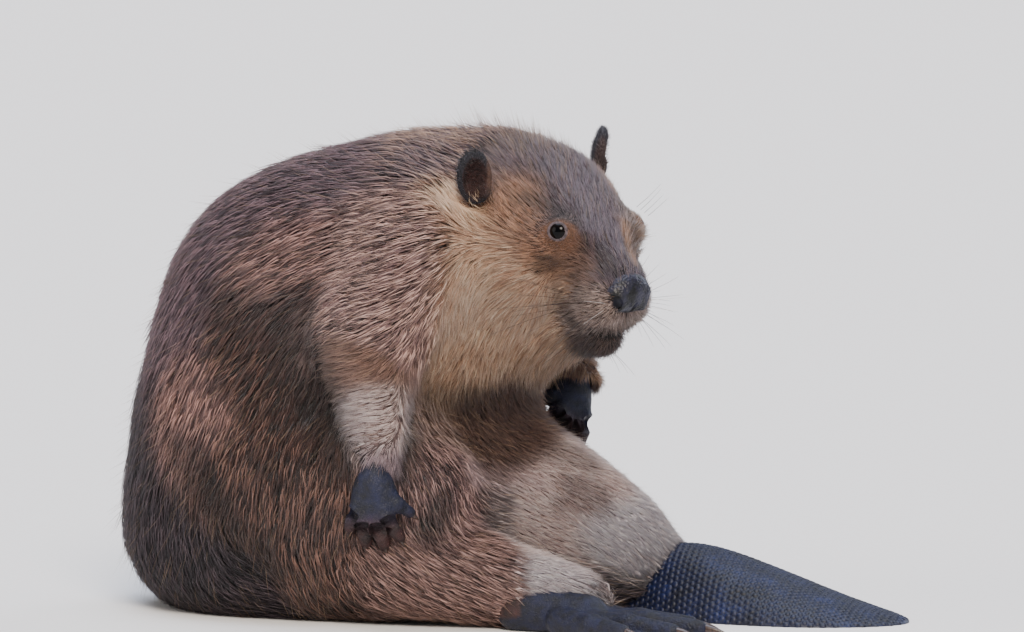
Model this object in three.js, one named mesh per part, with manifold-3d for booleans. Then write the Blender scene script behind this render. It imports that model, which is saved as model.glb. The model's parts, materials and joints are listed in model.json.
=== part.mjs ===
// A life-size North American beaver, sitting up on its haunches with the tail folded forward between
// the hind feet, as it grooms. Millimetres, +Z up. The origin is on the floor under the middle of the
// model; +X is the way the trunk faces and +Y the animal's left side.
//
// The flesh is one continuous form at the outer line of the coat: a distance field that blends
// ellipsoids and tapered limbs. Its surface is polygonised coarsely for the body and more finely for
// the head and arms, and is then parted by thin cuts into the parts a person would name. Ears, eyes,
// nose, hands, feet, claws and the scaly tail are solids of their own, and the flesh is cut back
// around their roots.

import * as THREE from "three";
import { MarchingCubes } from "three/addons/objects/MarchingCubes.js";
import { mergeVertices } from "three/addons/utils/BufferGeometryUtils.js";
import Module from "manifold-3d";

const wasm = await Module();
wasm.setup();

// ---------------------------------------------------------------- driving dimensions (mm, degrees)

const SEAM = 0.35; // gap between two parts that touch
const CENTRE = [50.4, 9.3]; // the finished model's middle, in the frame that its forms are placed in

const CELL = { body: 30, head: 14.5, arm: 22 }; // grid pitch of each polygonised surface

const HEAD = {
  origin: [72, -10, 285], // midway between the ear roots
  turn: 33, // turned to the animal's right
  nod: 19, // nose dipped below the level
};

// In the head's frame. A side's y is given for the left and mirrored for the right.
const EYE = { centre: [60.5, 33.5, -9.5], radius: 7.5 };
const NOSE = { centre: [101.5, 0, -38], size: [12, 17, 13] };
const NOSTRIL = { centre: [106, 14.5, -41], size: [7, 4.5, 3.6] };
const EAR = {
  size: [12, 6.5, 18.5], // half of its width, thickness and height
  wall: 3.5,
  back: 12, // how far both tilt back against the nod of the head
  left: { centre: [-6, 53, 14], lean: 4, turn: 40 }, // pricked
  right: { centre: [6, 66.5, 8], lean: 8, turn: 46 }, // laid out to the side
};

const TAIL = { length: 205, width: 114, ridge: 52, root: [112, 20], bend: 22 };

const FOOT = {
  toes: [118, 146, 158, 150, 126], // from the heel to the end of each toe, first toe to fifth
  fan: [20, 10, 0, -11, -23], // the way each toe points, from the inside of the foot outward
  fork: 22, // how far ahead of the heel the toes' lines meet
  web: 4.5, // thickness
};

const HAND = {
  reach: [20, 27, 30, 29, 24], // from the wrist to each knuckle, first finger to fifth
  fan: [40, 17, 4, -10, -26], // the way each finger points, from the thumb's side outward
  spread: 1.25,
  finger: { root: 5.8, end: 4.6, back: 11, past: 11, rise: 2, curl: -10 },
  thumb: { root: 5, end: 4, back: 10, past: 7, rise: -2, curl: -8 },
};

// ---------------------------------------------------------------- vectors and frames

const v3 = (p) => new THREE.Vector3(...p);
const rad = THREE.MathUtils.degToRad;
const SIDES = [
  ["right", -1],
  ["left", 1],
];

// The head's own frame: x to the nose, y to its left, z to the crown.
const headFrame = new THREE.Matrix4()
  .makeTranslation(...HEAD.origin)
  .multiply(new THREE.Matrix4().makeRotationZ(-rad(HEAD.turn)))
  .multiply(new THREE.Matrix4().makeRotationY(rad(HEAD.nod)));

// A frame at `origin` whose x axis points along `ahead` and whose z axis leans towards `up`.
function frameAt(origin, ahead, up) {
  const x = v3(ahead).normalize();
  const y = v3(up).cross(x).normalize();
  const z = x.clone().cross(y);
  return new THREE.Matrix4().makeBasis(x, y, z).setPosition(...origin);
}

const IDENTITY = new THREE.Matrix4();

// ---------------------------------------------------------------- the flesh, as a distance field

// Distance to an ellipsoid of half-axes r centred at c, in the given frame.
function ellipsoid(c, r, frame = IDENTITY) {
  const inverse = frame.clone().multiply(new THREE.Matrix4().makeTranslation(...c)).invert();
  const [a, b, h] = r;
  const q = new THREE.Vector3();
  return (p) => {
    q.copy(p).applyMatrix4(inverse);
    const near = Math.hypot(q.x / a, q.y / b, q.z / h);
    const far = Math.hypot(q.x / (a * a), q.y / (b * b), q.z / (h * h));
    return near < 1e-6 ? -Math.min(a, b, h) : (near * (near - 1)) / far;
  };
}

// Distance to a limb that tapers from radius ra at a to rb at b. `wide` stretches it sideways.
function limb(a, ra, b, rb, { wide = 1, frame = IDENTITY } = {}) {
  const inverse = frame.clone().invert();
  const squeeze = v3([1, 1 / wide, 1]);
  const start = v3(a).multiply(squeeze);
  const axis = v3(b).multiply(squeeze).sub(start);
  const length = axis.length();
  axis.normalize();
  const lean = (ra - rb) / length;
  const reach = Math.sqrt(1 - lean * lean);
  const q = new THREE.Vector3();
  return (p) => {
    q.copy(p).applyMatrix4(inverse).multiply(squeeze).sub(start);
    const along = q.dot(axis);
    const out = Math.sqrt(Math.max(q.lengthSq() - along * along, 0));
    const foot = along * reach - out * lean; // how far up the limb's slanted side p stands
    if (foot < 0) return q.length() - ra;
    if (foot > length * reach) return Math.hypot(along - length, out) - rb;
    return out * reach + along * lean - ra;
  };
}

// A smooth union: forms closer than `soft` run into each other in a fillet.
const blend = (soft, ...forms) => (p) => {
  let d = forms[0](p);
  for (const form of forms.slice(1)) {
    const e = form(p);
    const h = Math.max(soft - Math.abs(d - e), 0) / soft;
    d = Math.min(d, e) - (h * h * soft) / 4;
  }
  return d;
};

const trunk = blend(
  40,
  ellipsoid([-98, 0, 98], [113, 118, 112]), // rump
  ellipsoid([-104, 0, 44], [106, 108, 66]), // the seat
  ellipsoid([-66, 0, 180], [128, 112, 124]), // back and flanks
  ellipsoid([-4, -2, 220], [94, 88, 92]), // withers and chest
);

const tailRoot = blend(
  16,
  limb([10, 4, 74], 80, [146, 22, 28], 26, { wide: 1.2 }),
  limb([60, 6, 72], 52, [110, 14, 46], 41, { wide: 1.15 }), // the belly pushed forward
);

function hindLeg(side) {
  const s = ([x, y, z]) => [x, side * y, z];
  return blend(
    16,
    ellipsoid(s([-54, 74, 84]), [96, 56, 90]), // haunch
    limb(s([-20, 92, 88]), 38, s([16, 92, 86]), 33), // knee
    limb(s([-10, 92, 44]), 42, s([118, 87, 20]), 24), // shank and ankle
  );
}

const nearArm = blend(
  12,
  limb([8, -58, 232], 52, [-20, -104, 190], 40),
  limb([-20, -104, 190], 40, [-6, -130, 104], 17),
);
const farArm = blend(
  12,
  limb([12, 60, 230], 52, [24, 86, 184], 38),
  limb([24, 86, 184], 38, [84, 54, 148], 17),
);

const neck = limb([6, -2, 226], 84, [40, -2, 260], 60);

const inHead = (c, r) => ellipsoid(c, r, headFrame);
const ridgeInHead = (a, ra, b, rb, wide) => limb(a, ra, b, rb, { wide, frame: headFrame });
const head = blend(
  14,
  inHead([0, 17, -22], [58, 40, 45]), // left half of the cranium
  inHead([0, -17, -22], [58, 40, 45]), // right half of the cranium
  inHead([45, 20, -16], [30, 20, 20]), // left brow
  inHead([45, -20, -16], [30, 20, 20]), // right brow
  ridgeInHead([40, 0, -26], 31, [88, 0, -36], 20, 1.12), // bridge and muzzle
  inHead([18, 35, -52], [48, 33, 44]), // left cheek
  inHead([18, -35, -52], [48, 33, 44]), // right cheek
  inHead([83, 13, -50], [25, 17, 20]), // left lip
  inHead([83, -13, -50], [25, 17, 20]), // right lip
  inHead([70, 0, -76], [34, 23, 19]), // chin
  inHead([18, 0, -84], [56, 50, 40]), // throat
);

const flesh = blend(
  12,
  blend(18, blend(30, trunk, neck, tailRoot), head),
  blend(8, hindLeg(1), hindLeg(-1)),
  blend(8, nearArm, farArm),
);

// ---------------------------------------------------------------- polygonising the field

const SLOPE_STEP = 0.5; // mm, for the field's gradient

// Moves p on to the field's surface along its gradient.
function settle(p, field) {
  const g = new THREE.Vector3();
  const q = new THREE.Vector3();
  for (let k = 0; k < 3; k++) {
    const d = field(p);
    for (const axis of ["x", "y", "z"]) {
      q.copy(p);
      q[axis] += SLOPE_STEP;
      g[axis] = (field(q) - d) / SLOPE_STEP;
    }
    p.addScaledVector(g, -d / Math.max(g.lengthSq(), 0.25));
  }
}

// Evens the triangles out: each round draws a corner towards its neighbours and back on to the field.
function relax(mesh, field, rounds) {
  const position = mesh.attributes.position;
  const index = mesh.index.array;
  const around = Array.from({ length: position.count }, () => new Set());
  for (let t = 0; t < index.length; t += 3)
    for (let k = 0; k < 3; k++) {
      around[index[t + k]].add(index[t + ((k + 1) % 3)]);
      around[index[t + k]].add(index[t + ((k + 2) % 3)]);
    }
  const p = new THREE.Vector3();
  const q = new THREE.Vector3();
  for (let round = 0; round < rounds; round++) {
    const moved = new Float32Array(position.array.length);
    for (let i = 0; i < position.count; i++) {
      p.set(0, 0, 0);
      for (const j of around[i]) p.add(q.fromBufferAttribute(position, j));
      p.divideScalar(around[i].size);
      p.lerp(q.fromBufferAttribute(position, i), 0.4);
      settle(p, field);
      p.toArray(moved, i * 3);
    }
    position.array.set(moved);
  }
}

const CLEAR = 0.7; // mm, so that no corner lands on a grid point
const WELD = 0.01; // mm, done twice, half a step apart, so that no pair straddles a step

// The flesh's surface inside a cube, as a closed indexed mesh. Flesh that runs out of the cube is
// closed off by the cube's own walls, and the grid goes on a few cells past them.
function surface(centre, wall, cell) {
  const field = (p) =>
    Math.max(flesh(p), ...["x", "y", "z"].map((axis, k) => Math.abs(p[axis] - centre[k]) - wall));
  const half = wall + 3 * cell;
  const size = Math.ceil((2 * half) / cell);
  const grid = new MarchingCubes(size, new THREE.MeshBasicMaterial(), false, false, 40000);
  const place = (i, axis) => centre[axis] + (i / (size / 2) - 1) * half;
  const p = new THREE.Vector3();
  for (let k = 0; k < size; k++)
    for (let j = 0; j < size; j++)
      for (let i = 0; i < size; i++) {
        p.set(place(i, 0), place(j, 1), place(k, 2));
        const d = field(p);
        grid.setCell(i, j, k, d > 0 ? Math.min(-d, -CLEAR) : Math.max(-d, CLEAR));
      }
  grid.isolation = 0;
  grid.update();
  const corners = grid.positionArray.slice(0, grid.count * 3);
  const soup = new THREE.BufferGeometry();
  soup.setAttribute("position", new THREE.BufferAttribute(corners, 3));
  soup.scale(half, half, half).translate(...centre);
  const mesh = welded(welded(soup, WELD).translate(WELD / 2, WELD / 2, WELD / 2), WELD);
  relax(mesh, field, 6);
  return mesh;
}

// ---------------------------------------------------------------- solids

// The geometry with its shared corners merged and its empty triangles dropped.
function welded(geometry, tolerance = 1e-4) {
  const bare = new THREE.BufferGeometry();
  bare.setAttribute("position", geometry.attributes.position);
  if (geometry.index) bare.setIndex(geometry.index);
  const mesh = mergeVertices(bare, tolerance);
  const kept = [];
  for (let t = 0; t < mesh.index.count; t += 3) {
    const [a, b, c] = [0, 1, 2].map((k) => mesh.index.getX(t + k));
    if (a !== b && b !== c && c !== a) kept.push(a, b, c);
  }
  mesh.setIndex(kept);
  return mesh;
}

function solid(geometry) {
  const mesh = welded(geometry);
  return new wasm.Manifold(
    new wasm.Mesh({
      numProp: 3,
      vertProperties: new Float32Array(mesh.attributes.position.array),
      triVerts: new Uint32Array(mesh.index.array),
    }),
  );
}

const joined = (solids) => solids.reduce((sum, one) => sum.add(one));

// An ellipsoid in a frame.
function ball(c, r, { frame = IDENTITY, around = 12, down = 8 } = {}) {
  const shape = new THREE.SphereGeometry(1, around, down);
  shape.rotateX(Math.PI / 2).scale(...r).translate(...c).applyMatrix4(frame);
  return solid(shape);
}

// A rounded rod that tapers from radius ra at a to rb at b; `flat` thins it along the frame's z.
function rod(a, ra, b, rb, { frame = IDENTITY, sides = 8, steps = 2, flat = 1 } = {}) {
  const axis = v3(b).sub(v3(a));
  const length = axis.length();
  const lean = Math.asin((ra - rb) / length);
  const profile = [];
  for (let k = 0; k <= steps; k++) {
    const t = THREE.MathUtils.lerp(-Math.PI / 2, lean, k / steps);
    profile.push(new THREE.Vector2(k ? ra * Math.cos(t) : 0, ra * Math.sin(t)));
  }
  for (let k = 0; k <= steps; k++) {
    const t = THREE.MathUtils.lerp(lean, Math.PI / 2, k / steps);
    profile.push(new THREE.Vector2(k < steps ? rb * Math.cos(t) : 0, length + rb * Math.sin(t)));
  }
  const shape = new THREE.LatheGeometry(profile, sides);
  const turn = new THREE.Quaternion().setFromUnitVectors(v3([0, 1, 0]), axis.normalize());
  shape.applyQuaternion(turn);
  shape.scale(1, 1, flat).translate(a[0], a[1], a[2]).applyMatrix4(frame);
  return solid(shape);
}

// A box from corner to corner.
function block(from, to) {
  const size = v3(to).sub(v3(from));
  const shape = new THREE.BoxGeometry(...size);
  shape.translate(size.x / 2, size.y / 2, size.z / 2).translate(...from);
  return solid(shape);
}

const UNDERGROUND = block([-900, -900, -300], [900, 900, 0]);

// ---------------------------------------------------------------- hands, feet and claws

// Every shape from here on takes `grow`: 0 for the part itself, or a seam's width for the room it
// takes out of the flesh around it.

// A claw: a flattened cone that grows along the frame's x axis and droops.
function claw(length, radius, droop, frame, grow) {
  const shape = new THREE.ConeGeometry(radius + grow, length + 2 * grow, 5, 2);
  shape.rotateZ(-Math.PI / 2).translate(length / 2, 0, 0);
  const position = shape.attributes.position;
  for (let i = 0; i < position.count; i++) {
    const x = position.getX(i);
    position.setY(i, position.getY(i) * 0.8);
    position.setZ(i, position.getZ(i) - droop * (x / length) ** 2);
  }
  return solid(shape.applyMatrix4(frame));
}

// One hand, in its own frame: x from the wrist to the fingers, z out of its back. `thumb` is 1 where
// the thumb lies on the frame's +y side and -1 where it lies on the other.
class Hand {
  constructor(origin, ahead, back, thumb) {
    this.frame = frameAt(origin, ahead, back);
    this.thumb = thumb;
  }

  // Finger i from its root in the palm to the middle of its tip, and the way its claw points.
  finger(i) {
    const way = rad(HAND.fan[i]) * this.thumb;
    const { back, past, rise, curl } = i === 0 ? HAND.thumb : HAND.finger;
    const at = (out, up) => [out * Math.cos(way), out * Math.sin(way) * HAND.spread, up];
    return {
      base: at(HAND.reach[i] - back, rise),
      tip: at(HAND.reach[i] + past, curl),
      heading: [Math.cos(way), Math.sin(way), -0.5],
    };
  }

  flesh() {
    const { frame } = this;
    const pieces = [
      rod([-24, 0, 0], 11, [4, 0, 0], 12, { frame, sides: 8, steps: 1 }),
      ball([13, 0, 0], [20, 17, 10.5], { frame, around: 8, down: 4 }),
    ];
    for (const i of HAND.reach.keys()) {
      const { root, end } = i === 0 ? HAND.thumb : HAND.finger;
      const { base, tip } = this.finger(i);
      pieces.push(rod(base, root, tip, end, { frame, sides: 6, steps: 1 }));
    }
    return joined(pieces);
  }

  // The hollow it presses into the coat under it and the sleeve of coat about its wrist.
  room() {
    const { frame } = this;
    return joined([
      rod([-26, 0, 0], 13.5, [4, 0, 0], 14, { frame, sides: 8, steps: 1 }),
      ball([27, 0, -4], [42, 32, 25], { frame, around: 10, down: 6 }),
    ]);
  }

  claw(i, grow) {
    const { tip, heading } = this.finger(i);
    const nail = this.frame.clone().multiply(frameAt(tip, heading, [0, 0, 1]));
    return claw(i === 0 ? 9 : 12, 2.6, 2.4, nail, grow);
  }
}

const INSTEP = [[28, 0, 14], 18, [72, 0, 9], 16]; // the rod from the ankle to the arch

// One webbed hind foot, in its own frame: heel over the origin, x to the toes, z up. `inside` is 1
// where the foot's inner side is the frame's +y side and -1 where it is the other.
class Foot {
  constructor(origin, heading, inside) {
    this.frame = frameAt(origin, [Math.cos(rad(heading)), Math.sin(rad(heading)), 0], [0, 0, 1]);
    this.inside = inside;
  }

  // A place on toe i's line, `out` from the heel and `up` from the floor.
  onToe(i, out, up) {
    const way = rad(FOOT.fan[i]) * this.inside;
    const past = out - FOOT.fork;
    return [FOOT.fork + past * Math.cos(way), past * Math.sin(way), up];
  }

  web() {
    const toes = [...FOOT.toes.keys()];
    if (this.inside > 0) toes.reverse();
    const ends = toes.map((i) => this.onToe(i, FOOT.toes[i] - 10, 0));
    const outline = new THREE.Shape();
    outline.moveTo(50, -20);
    outline.lineTo(ends[0][0], ends[0][1]);
    for (let i = 1; i < ends.length; i++) {
      const [x0, y0] = ends[i - 1];
      const [x1, y1] = ends[i];
      outline.quadraticCurveTo((x0 + x1) / 2 - 9, (y0 + y1) / 2, x1, y1);
    }
    outline.lineTo(50, 20);
    const plate = new THREE.ExtrudeGeometry(outline, {
      depth: FOOT.web,
      bevelEnabled: false,
      curveSegments: 2,
    });
    return solid(plate.applyMatrix4(this.frame));
  }

  flesh() {
    const { frame } = this;
    const pieces = [this.web(), rod(...INSTEP, { frame, sides: 8, steps: 1 })];
    for (const [i, end] of FOOT.toes.entries()) {
      const toe = [this.onToe(i, 62, 9), 9, this.onToe(i, end - 8, 6), 6];
      pieces.push(rod(...toe, { frame, sides: 5, steps: 1 }));
    }
    return joined(pieces).subtract(UNDERGROUND);
  }

  // The room it takes out of the ankle's coat.
  room() {
    const [heel, heelGirth, arch, archGirth] = INSTEP;
    const { frame } = this;
    return joined([
      rod(heel, heelGirth + 3, [arch[0] + 20, 0, 6], archGirth + 8, {
        frame,
        sides: 12,
        steps: 2,
        flat: 0.9,
      }),
      ball([96, 0, 0], [60, 54, 32], { frame, around: 12, down: 6 }),
    ]);
  }

  claw(i, grow) {
    const way = rad(FOOT.fan[i]) * this.inside;
    const root = this.onToe(i, FOOT.toes[i] - 8, 6);
    const nail = frameAt(root, [Math.cos(way), Math.sin(way), -0.06], [0, 0, 1]);
    return claw(20, 3.6, 2.4, this.frame.clone().multiply(nail), grow);
  }
}

// ---------------------------------------------------------------- the scaly tail

// A paddle with a rounded ridge, flat underneath, that bends to the animal's right towards its tip.
function paddle() {
  const shape = new THREE.SphereGeometry(1, 14, 12).rotateZ(-Math.PI / 2);
  const position = shape.attributes.position;
  for (let i = 0; i < position.count; i++) {
    const along = (position.getX(i) + 1) / 2; // 0 at the root, 1 at the tip
    const ring = Math.sqrt(Math.max(1 - position.getX(i) ** 2, 0)) || 1;
    const side = position.getY(i) / ring;
    const up = position.getZ(i) / ring;
    const blunt = Math.sqrt(Math.max(1 - Math.abs(2 * along - 1) ** 3, 0)); // rounds off both ends
    const half = (TAIL.width / 2) * (0.62 + 0.38 * Math.sin(Math.PI * Math.min(along * 0.92, 1)));
    const ridge = TAIL.ridge * (1 - 0.82 * THREE.MathUtils.smoothstep(along, 0.1, 1));
    position.setXYZ(
      i,
      TAIL.root[0] + along * TAIL.length,
      TAIL.root[1] - TAIL.bend * along ** 2 + side * half * blunt,
      up > 0 ? up ** 1.4 * ridge * blunt : up * 6,
    );
  }
  return solid(shape).subtract(UNDERGROUND);
}

// The room its root takes out of the coat that overhangs it.
const paddleRoom = () => ball([172, 15, 0], [70, 61, 60], { around: 10, down: 6 });

// ---------------------------------------------------------------- the small parts of the head

// The left ear for side 1 and the right for side -1: a thick leaf, hollowed on its front.
function ear(side, grow) {
  const { centre, lean, turn } = side > 0 ? EAR.left : EAR.right;
  const frame = headFrame
    .clone()
    .multiply(new THREE.Matrix4().makeTranslation(centre[0], side * centre[1], centre[2]))
    .multiply(new THREE.Matrix4().makeRotationY(-rad(EAR.back)))
    .multiply(new THREE.Matrix4().makeRotationX(-side * rad(lean)))
    .multiply(new THREE.Matrix4().makeRotationZ(-side * rad(turn)));
  const fineness = { frame, around: 9, down: 5 };
  const leaf = ball([0, 0, 0], EAR.size.map((r) => r + grow), fineness);
  if (grow) return leaf;
  const [wide, thick, tall] = EAR.size;
  const hollow = ball([0, side * EAR.wall, 1], [wide - EAR.wall, thick, tall - EAR.wall], fineness);
  return leaf.subtract(hollow);
}

const mirrored = ([x, y, z], side) => [x, side * y, z];

const eye = (side, grow) =>
  ball(mirrored(EYE.centre, side), Array(3).fill(EYE.radius + grow), {
    frame: headFrame,
    around: 9,
    down: 6,
  });

function nose(grow) {
  const fineness = { frame: headFrame, around: 9, down: 6 };
  const pad = ball(NOSE.centre, NOSE.size.map((r) => r + grow), fineness);
  if (grow) return pad;
  const nostrils = [1, -1].map((side) =>
    ball(mirrored(NOSTRIL.centre, side), NOSTRIL.size, { frame: headFrame, around: 6, down: 4 }),
  );
  return pad.subtract(joined(nostrils));
}

// ---------------------------------------------------------------- where the flesh is parted

// Each region takes its share of the flesh. Its neighbours start one seam further out.
const COARSE = { sides: 8, steps: 2 };

// A box between two corners of a frame at `origin` that is turned to the right and nods.
function region(origin, turn, nod, from, to, grow) {
  const low = v3(from).subScalar(grow);
  const high = v3(to).addScalar(grow);
  const shape = new THREE.BoxGeometry(...high.clone().sub(low));
  shape.translate(...low.add(high).multiplyScalar(0.5));
  shape.rotateY(rad(nod)).rotateZ(-rad(turn)).translate(...origin);
  return solid(shape);
}

const headRegion = (grow) => region(HEAD.origin, HEAD.turn, 4, [-48, -73, -125], [200, 150, 150], grow);
const neckRegion = (grow) => region(HEAD.origin, 16, 0, [-62, -200, -124], [200, 200, 150], grow);
const tailRootRegion = (grow) => region([40, 0, 0], 0, -10, [0, -200, -60], [300, 200, 142], grow);

const upperArmRegion = {
  right: (grow) => rod([8, -60, 232], 54 + grow, [-20, -110, 190], 48 + grow, COARSE),
  left: (grow) => rod([12, 62, 230], 54 + grow, [22, 92, 186], 46 + grow, COARSE),
};

const forearmRegion = {
  right: (grow) => rod([-22, -118, 168], 46 + grow, [-6, -140, 92], 34 + grow, COARSE),
  left: (grow) => rod([34, 92, 172], 40 + grow, [96, 56, 142], 32 + grow, COARSE),
};

const shankRegion = (side, grow) =>
  region([-24, side * 96, 0], 0, -4, [0, -46, -60], [300, 46, 62], grow);

const haunchRegion = (side, grow) =>
  ball([-50, side * 88, 84], [108, 66, 102].map((r) => r + grow), { around: 8, down: 6 });

// ---------------------------------------------------------------- the finished parts

const COAT = { roughness: 0.85, metalness: 0 };
const FINISH = {
  back: new THREE.MeshStandardMaterial({ name: "back coat", color: 0x55403c, ...COAT }),
  flank: new THREE.MeshStandardMaterial({ name: "flank coat", color: 0x6e4a38, ...COAT }),
  face: new THREE.MeshStandardMaterial({ name: "face coat", color: 0x8a6548, ...COAT }),
  arm: new THREE.MeshStandardMaterial({ name: "arm coat", color: 0x9a7a66, ...COAT }),
  belly: new THREE.MeshStandardMaterial({ name: "belly coat", color: 0x86685f, ...COAT }),
  skin: new THREE.MeshStandardMaterial({ name: "bare skin", color: 0x22242c, roughness: 0.5 }),
  scales: new THREE.MeshStandardMaterial({ name: "tail scales", color: 0x2f3440, roughness: 0.45 }),
  claw: new THREE.MeshStandardMaterial({ name: "claw", color: 0x3a2c26, roughness: 0.4 }),
  eye: new THREE.MeshStandardMaterial({ name: "eye", color: 0x0c0a0c, roughness: 0.05 }),
};

const beaver = new THREE.Group();

function add(name, finish, part) {
  const { vertProperties, triVerts } = part.getMesh();
  const geometry = new THREE.BufferGeometry();
  geometry.setAttribute("position", new THREE.BufferAttribute(vertProperties, 3));
  geometry.setIndex(new THREE.BufferAttribute(triVerts, 1));
  geometry.translate(-CENTRE[0], -CENTRE[1], 0);
  const mesh = new THREE.Mesh(geometry, FINISH[finish]);
  mesh.name = name;
  beaver.add(mesh);
}

const HANDS = {
  right: new Hand([-6, -139, 98], [0.03, -0.04, -1], [0, -1, 0], 1),
  left: new Hand([79, 50, 144], [-0.1, -0.55, -0.8], [0.7, -0.45, 0.5], -1),
};
const FEET = {
  right: new Foot([55, -96, 0], -6, 1),
  left: new Foot([55, 98, 0], 14, -1),
};

// What stands in the flesh, grown by a seam: nothing of the coat may run into it.
const bare = joined([
  ...SIDES.flatMap(([side, sign]) => [
    ear(sign, SEAM),
    eye(sign, SEAM),
    HANDS[side].room(),
    FEET[side].room(),
  ]),
  nose(SEAM),
  paddleRoom(),
  UNDERGROUND,
]);

// Cuts the flesh up, one region after the other; each takes what the ones before have left.
const taken = [];
function part(stock, region) {
  const share = [bare, ...taken].reduce((rest, cut) => rest.subtract(cut), stock);
  if (!region) return share;
  taken.push(region(SEAM));
  return share.intersect(region(0));
}

const headStock = solid(surface([105, -25, 240], 112, CELL.head));
const bodyStock = solid(surface([-20, 0, 150], 205, CELL.body));
const armStock = {
  right: solid(surface([-8, -95, 182], 105, CELL.arm)),
  left: solid(surface([45, 75, 190], 105, CELL.arm)),
};

add("head", "face", part(headStock, headRegion));
for (const [side] of SIDES) {
  add(`${side}_forearm`, "arm", part(armStock[side], forearmRegion[side]));
  add(`${side}_upper_arm`, "flank", part(armStock[side], upperArmRegion[side]));
}
add("neck", "back", part(bodyStock, neckRegion));
for (const [side, sign] of SIDES) {
  add(`${side}_shank`, "flank", part(bodyStock, (grow) => shankRegion(sign, grow)));
  add(`${side}_haunch`, "flank", part(bodyStock, (grow) => haunchRegion(sign, grow)));
}
add("tail_root", "belly", part(bodyStock, tailRootRegion));
add("trunk", "back", part(bodyStock));
add("tail_paddle", "scales", paddle());
add("nose", "skin", nose(0));

for (const [side, sign] of SIDES) {
  add(`${side}_ear`, "skin", ear(sign, 0));
  add(`${side}_eye`, "eye", eye(sign, 0));
  for (const [name, limbEnd] of [["hand", HANDS[side]], ["foot", FEET[side]]]) {
    const digits = [0, 1, 2, 3, 4];
    const sockets = joined(digits.map((i) => limbEnd.claw(i, SEAM)));
    add(`${side}_${name}`, "skin", limbEnd.flesh().subtract(sockets));
    for (const i of digits) add(`${side}_${name}_claw_${i + 1}`, "claw", limbEnd.claw(i, 0));
  }
}

export default beaver;
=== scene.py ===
"""A life-size beaver that sits up and grooms, dressed as a museum model.

One closed skin stands inside the coat's outline and takes the place of the parts of flesh. Tufts of
solid mesh grow from it along the lie of the coat. Eyes, nose pad, claws, whiskers and the scales of
the tail are pieces of their own.

Forms are given in millimetres in the frame that they were laid out in: +X is the way the trunk
faces, +Y the animal's left, +Z up. The head has a frame of its own, with x to the nose, y to its left
and z to the crown. Meshes are written in metres in the model's frame.
"""

from __future__ import annotations

import json
import logging
import math
from dataclasses import dataclass
from enum import Enum
from functools import cached_property
from typing import Callable

import bmesh
import bpy
import numpy as np
from mathutils import Matrix, Vector, kdtree

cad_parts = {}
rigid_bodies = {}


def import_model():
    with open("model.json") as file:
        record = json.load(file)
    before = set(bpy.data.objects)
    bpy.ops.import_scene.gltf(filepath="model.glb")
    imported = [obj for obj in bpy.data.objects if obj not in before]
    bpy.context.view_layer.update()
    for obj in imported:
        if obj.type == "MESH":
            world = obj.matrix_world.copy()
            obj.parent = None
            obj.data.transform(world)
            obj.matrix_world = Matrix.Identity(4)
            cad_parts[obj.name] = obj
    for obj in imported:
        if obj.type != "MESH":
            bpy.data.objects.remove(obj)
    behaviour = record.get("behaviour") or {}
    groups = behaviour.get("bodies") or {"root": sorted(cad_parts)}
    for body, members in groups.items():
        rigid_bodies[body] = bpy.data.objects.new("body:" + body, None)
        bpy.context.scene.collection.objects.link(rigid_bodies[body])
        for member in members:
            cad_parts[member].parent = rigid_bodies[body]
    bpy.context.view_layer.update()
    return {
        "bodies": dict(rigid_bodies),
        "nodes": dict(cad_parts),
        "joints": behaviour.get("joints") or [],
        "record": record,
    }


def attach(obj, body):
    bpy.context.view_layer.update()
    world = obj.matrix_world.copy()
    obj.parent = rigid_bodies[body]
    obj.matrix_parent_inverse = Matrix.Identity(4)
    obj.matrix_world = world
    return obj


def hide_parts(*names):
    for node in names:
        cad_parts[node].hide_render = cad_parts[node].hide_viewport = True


log = logging.getLogger("beaver")

Array = np.ndarray
Vec = tuple[float, float, float]
Mesh, Object, Material, Socket = (
    bpy.types.Mesh, bpy.types.Object, bpy.types.Material, bpy.types.NodeSocket)

MM = 0.001
CENTRE = np.array([50.4, 9.3, 0.0])  # the model's origin in the layout frame
SEED = 20
TINY = 1e-9  # keeps a division away from zero
WELD = 1e-6  # corners closer than this are one, metres


# ---------------- frames and small vector helpers


def to_model(p: Array) -> Array:
    """Layout millimetres as model metres."""
    return (p - CENTRE) * MM


def from_model(p: Array) -> Array:
    """Model metres as layout millimetres."""
    return p / MM + CENTRE


def unit(v: Array) -> Array:
    """Vectors at unit length; a null vector stays null."""
    return v / np.maximum(np.linalg.norm(v, axis=-1, keepdims=True), TINY)


def smooth(t: Array, low: float, high: float) -> Array:
    """A smooth step from 0 at low to 1 at high."""
    s = np.clip((t - low) / (high - low), 0, 1)
    return s * s * (3 - 2 * s)


def turned(about: str, degrees: float) -> Array:
    """The rotation matrix about one axis."""
    return np.array(Matrix.Rotation(math.radians(degrees), 3, about))


@dataclass(frozen=True)
class Frame:
    """A placed frame: its origin and its axes as the columns of a matrix."""

    origin: Array
    axes: Array

    def inside(self, p: Array) -> Array:
        """Layout points in this frame."""
        return (p - self.origin) @ self.axes

    def outside(self, q: Array) -> Array:
        """Points of this frame in the layout."""
        return np.asarray(q, float) @ self.axes.T + self.origin

    def way(self, q: Array) -> Array:
        """Directions of this frame in the layout."""
        return np.asarray(q, float) @ self.axes.T

    def child(self, origin: Vec, axes: Array) -> Frame:
        """A frame placed inside this one."""
        return Frame(self.outside(np.array(origin)), self.axes @ axes)

    @staticmethod
    def at(origin: Vec, ahead: Vec, up: Vec) -> Frame:
        """A frame whose x axis points along ahead and whose z axis leans towards up."""
        x = unit(np.array(ahead, float))
        y = unit(np.cross(np.array(up, float), x))
        return Frame(np.array(origin, float), np.column_stack([x, y, np.cross(x, y)]))


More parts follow.
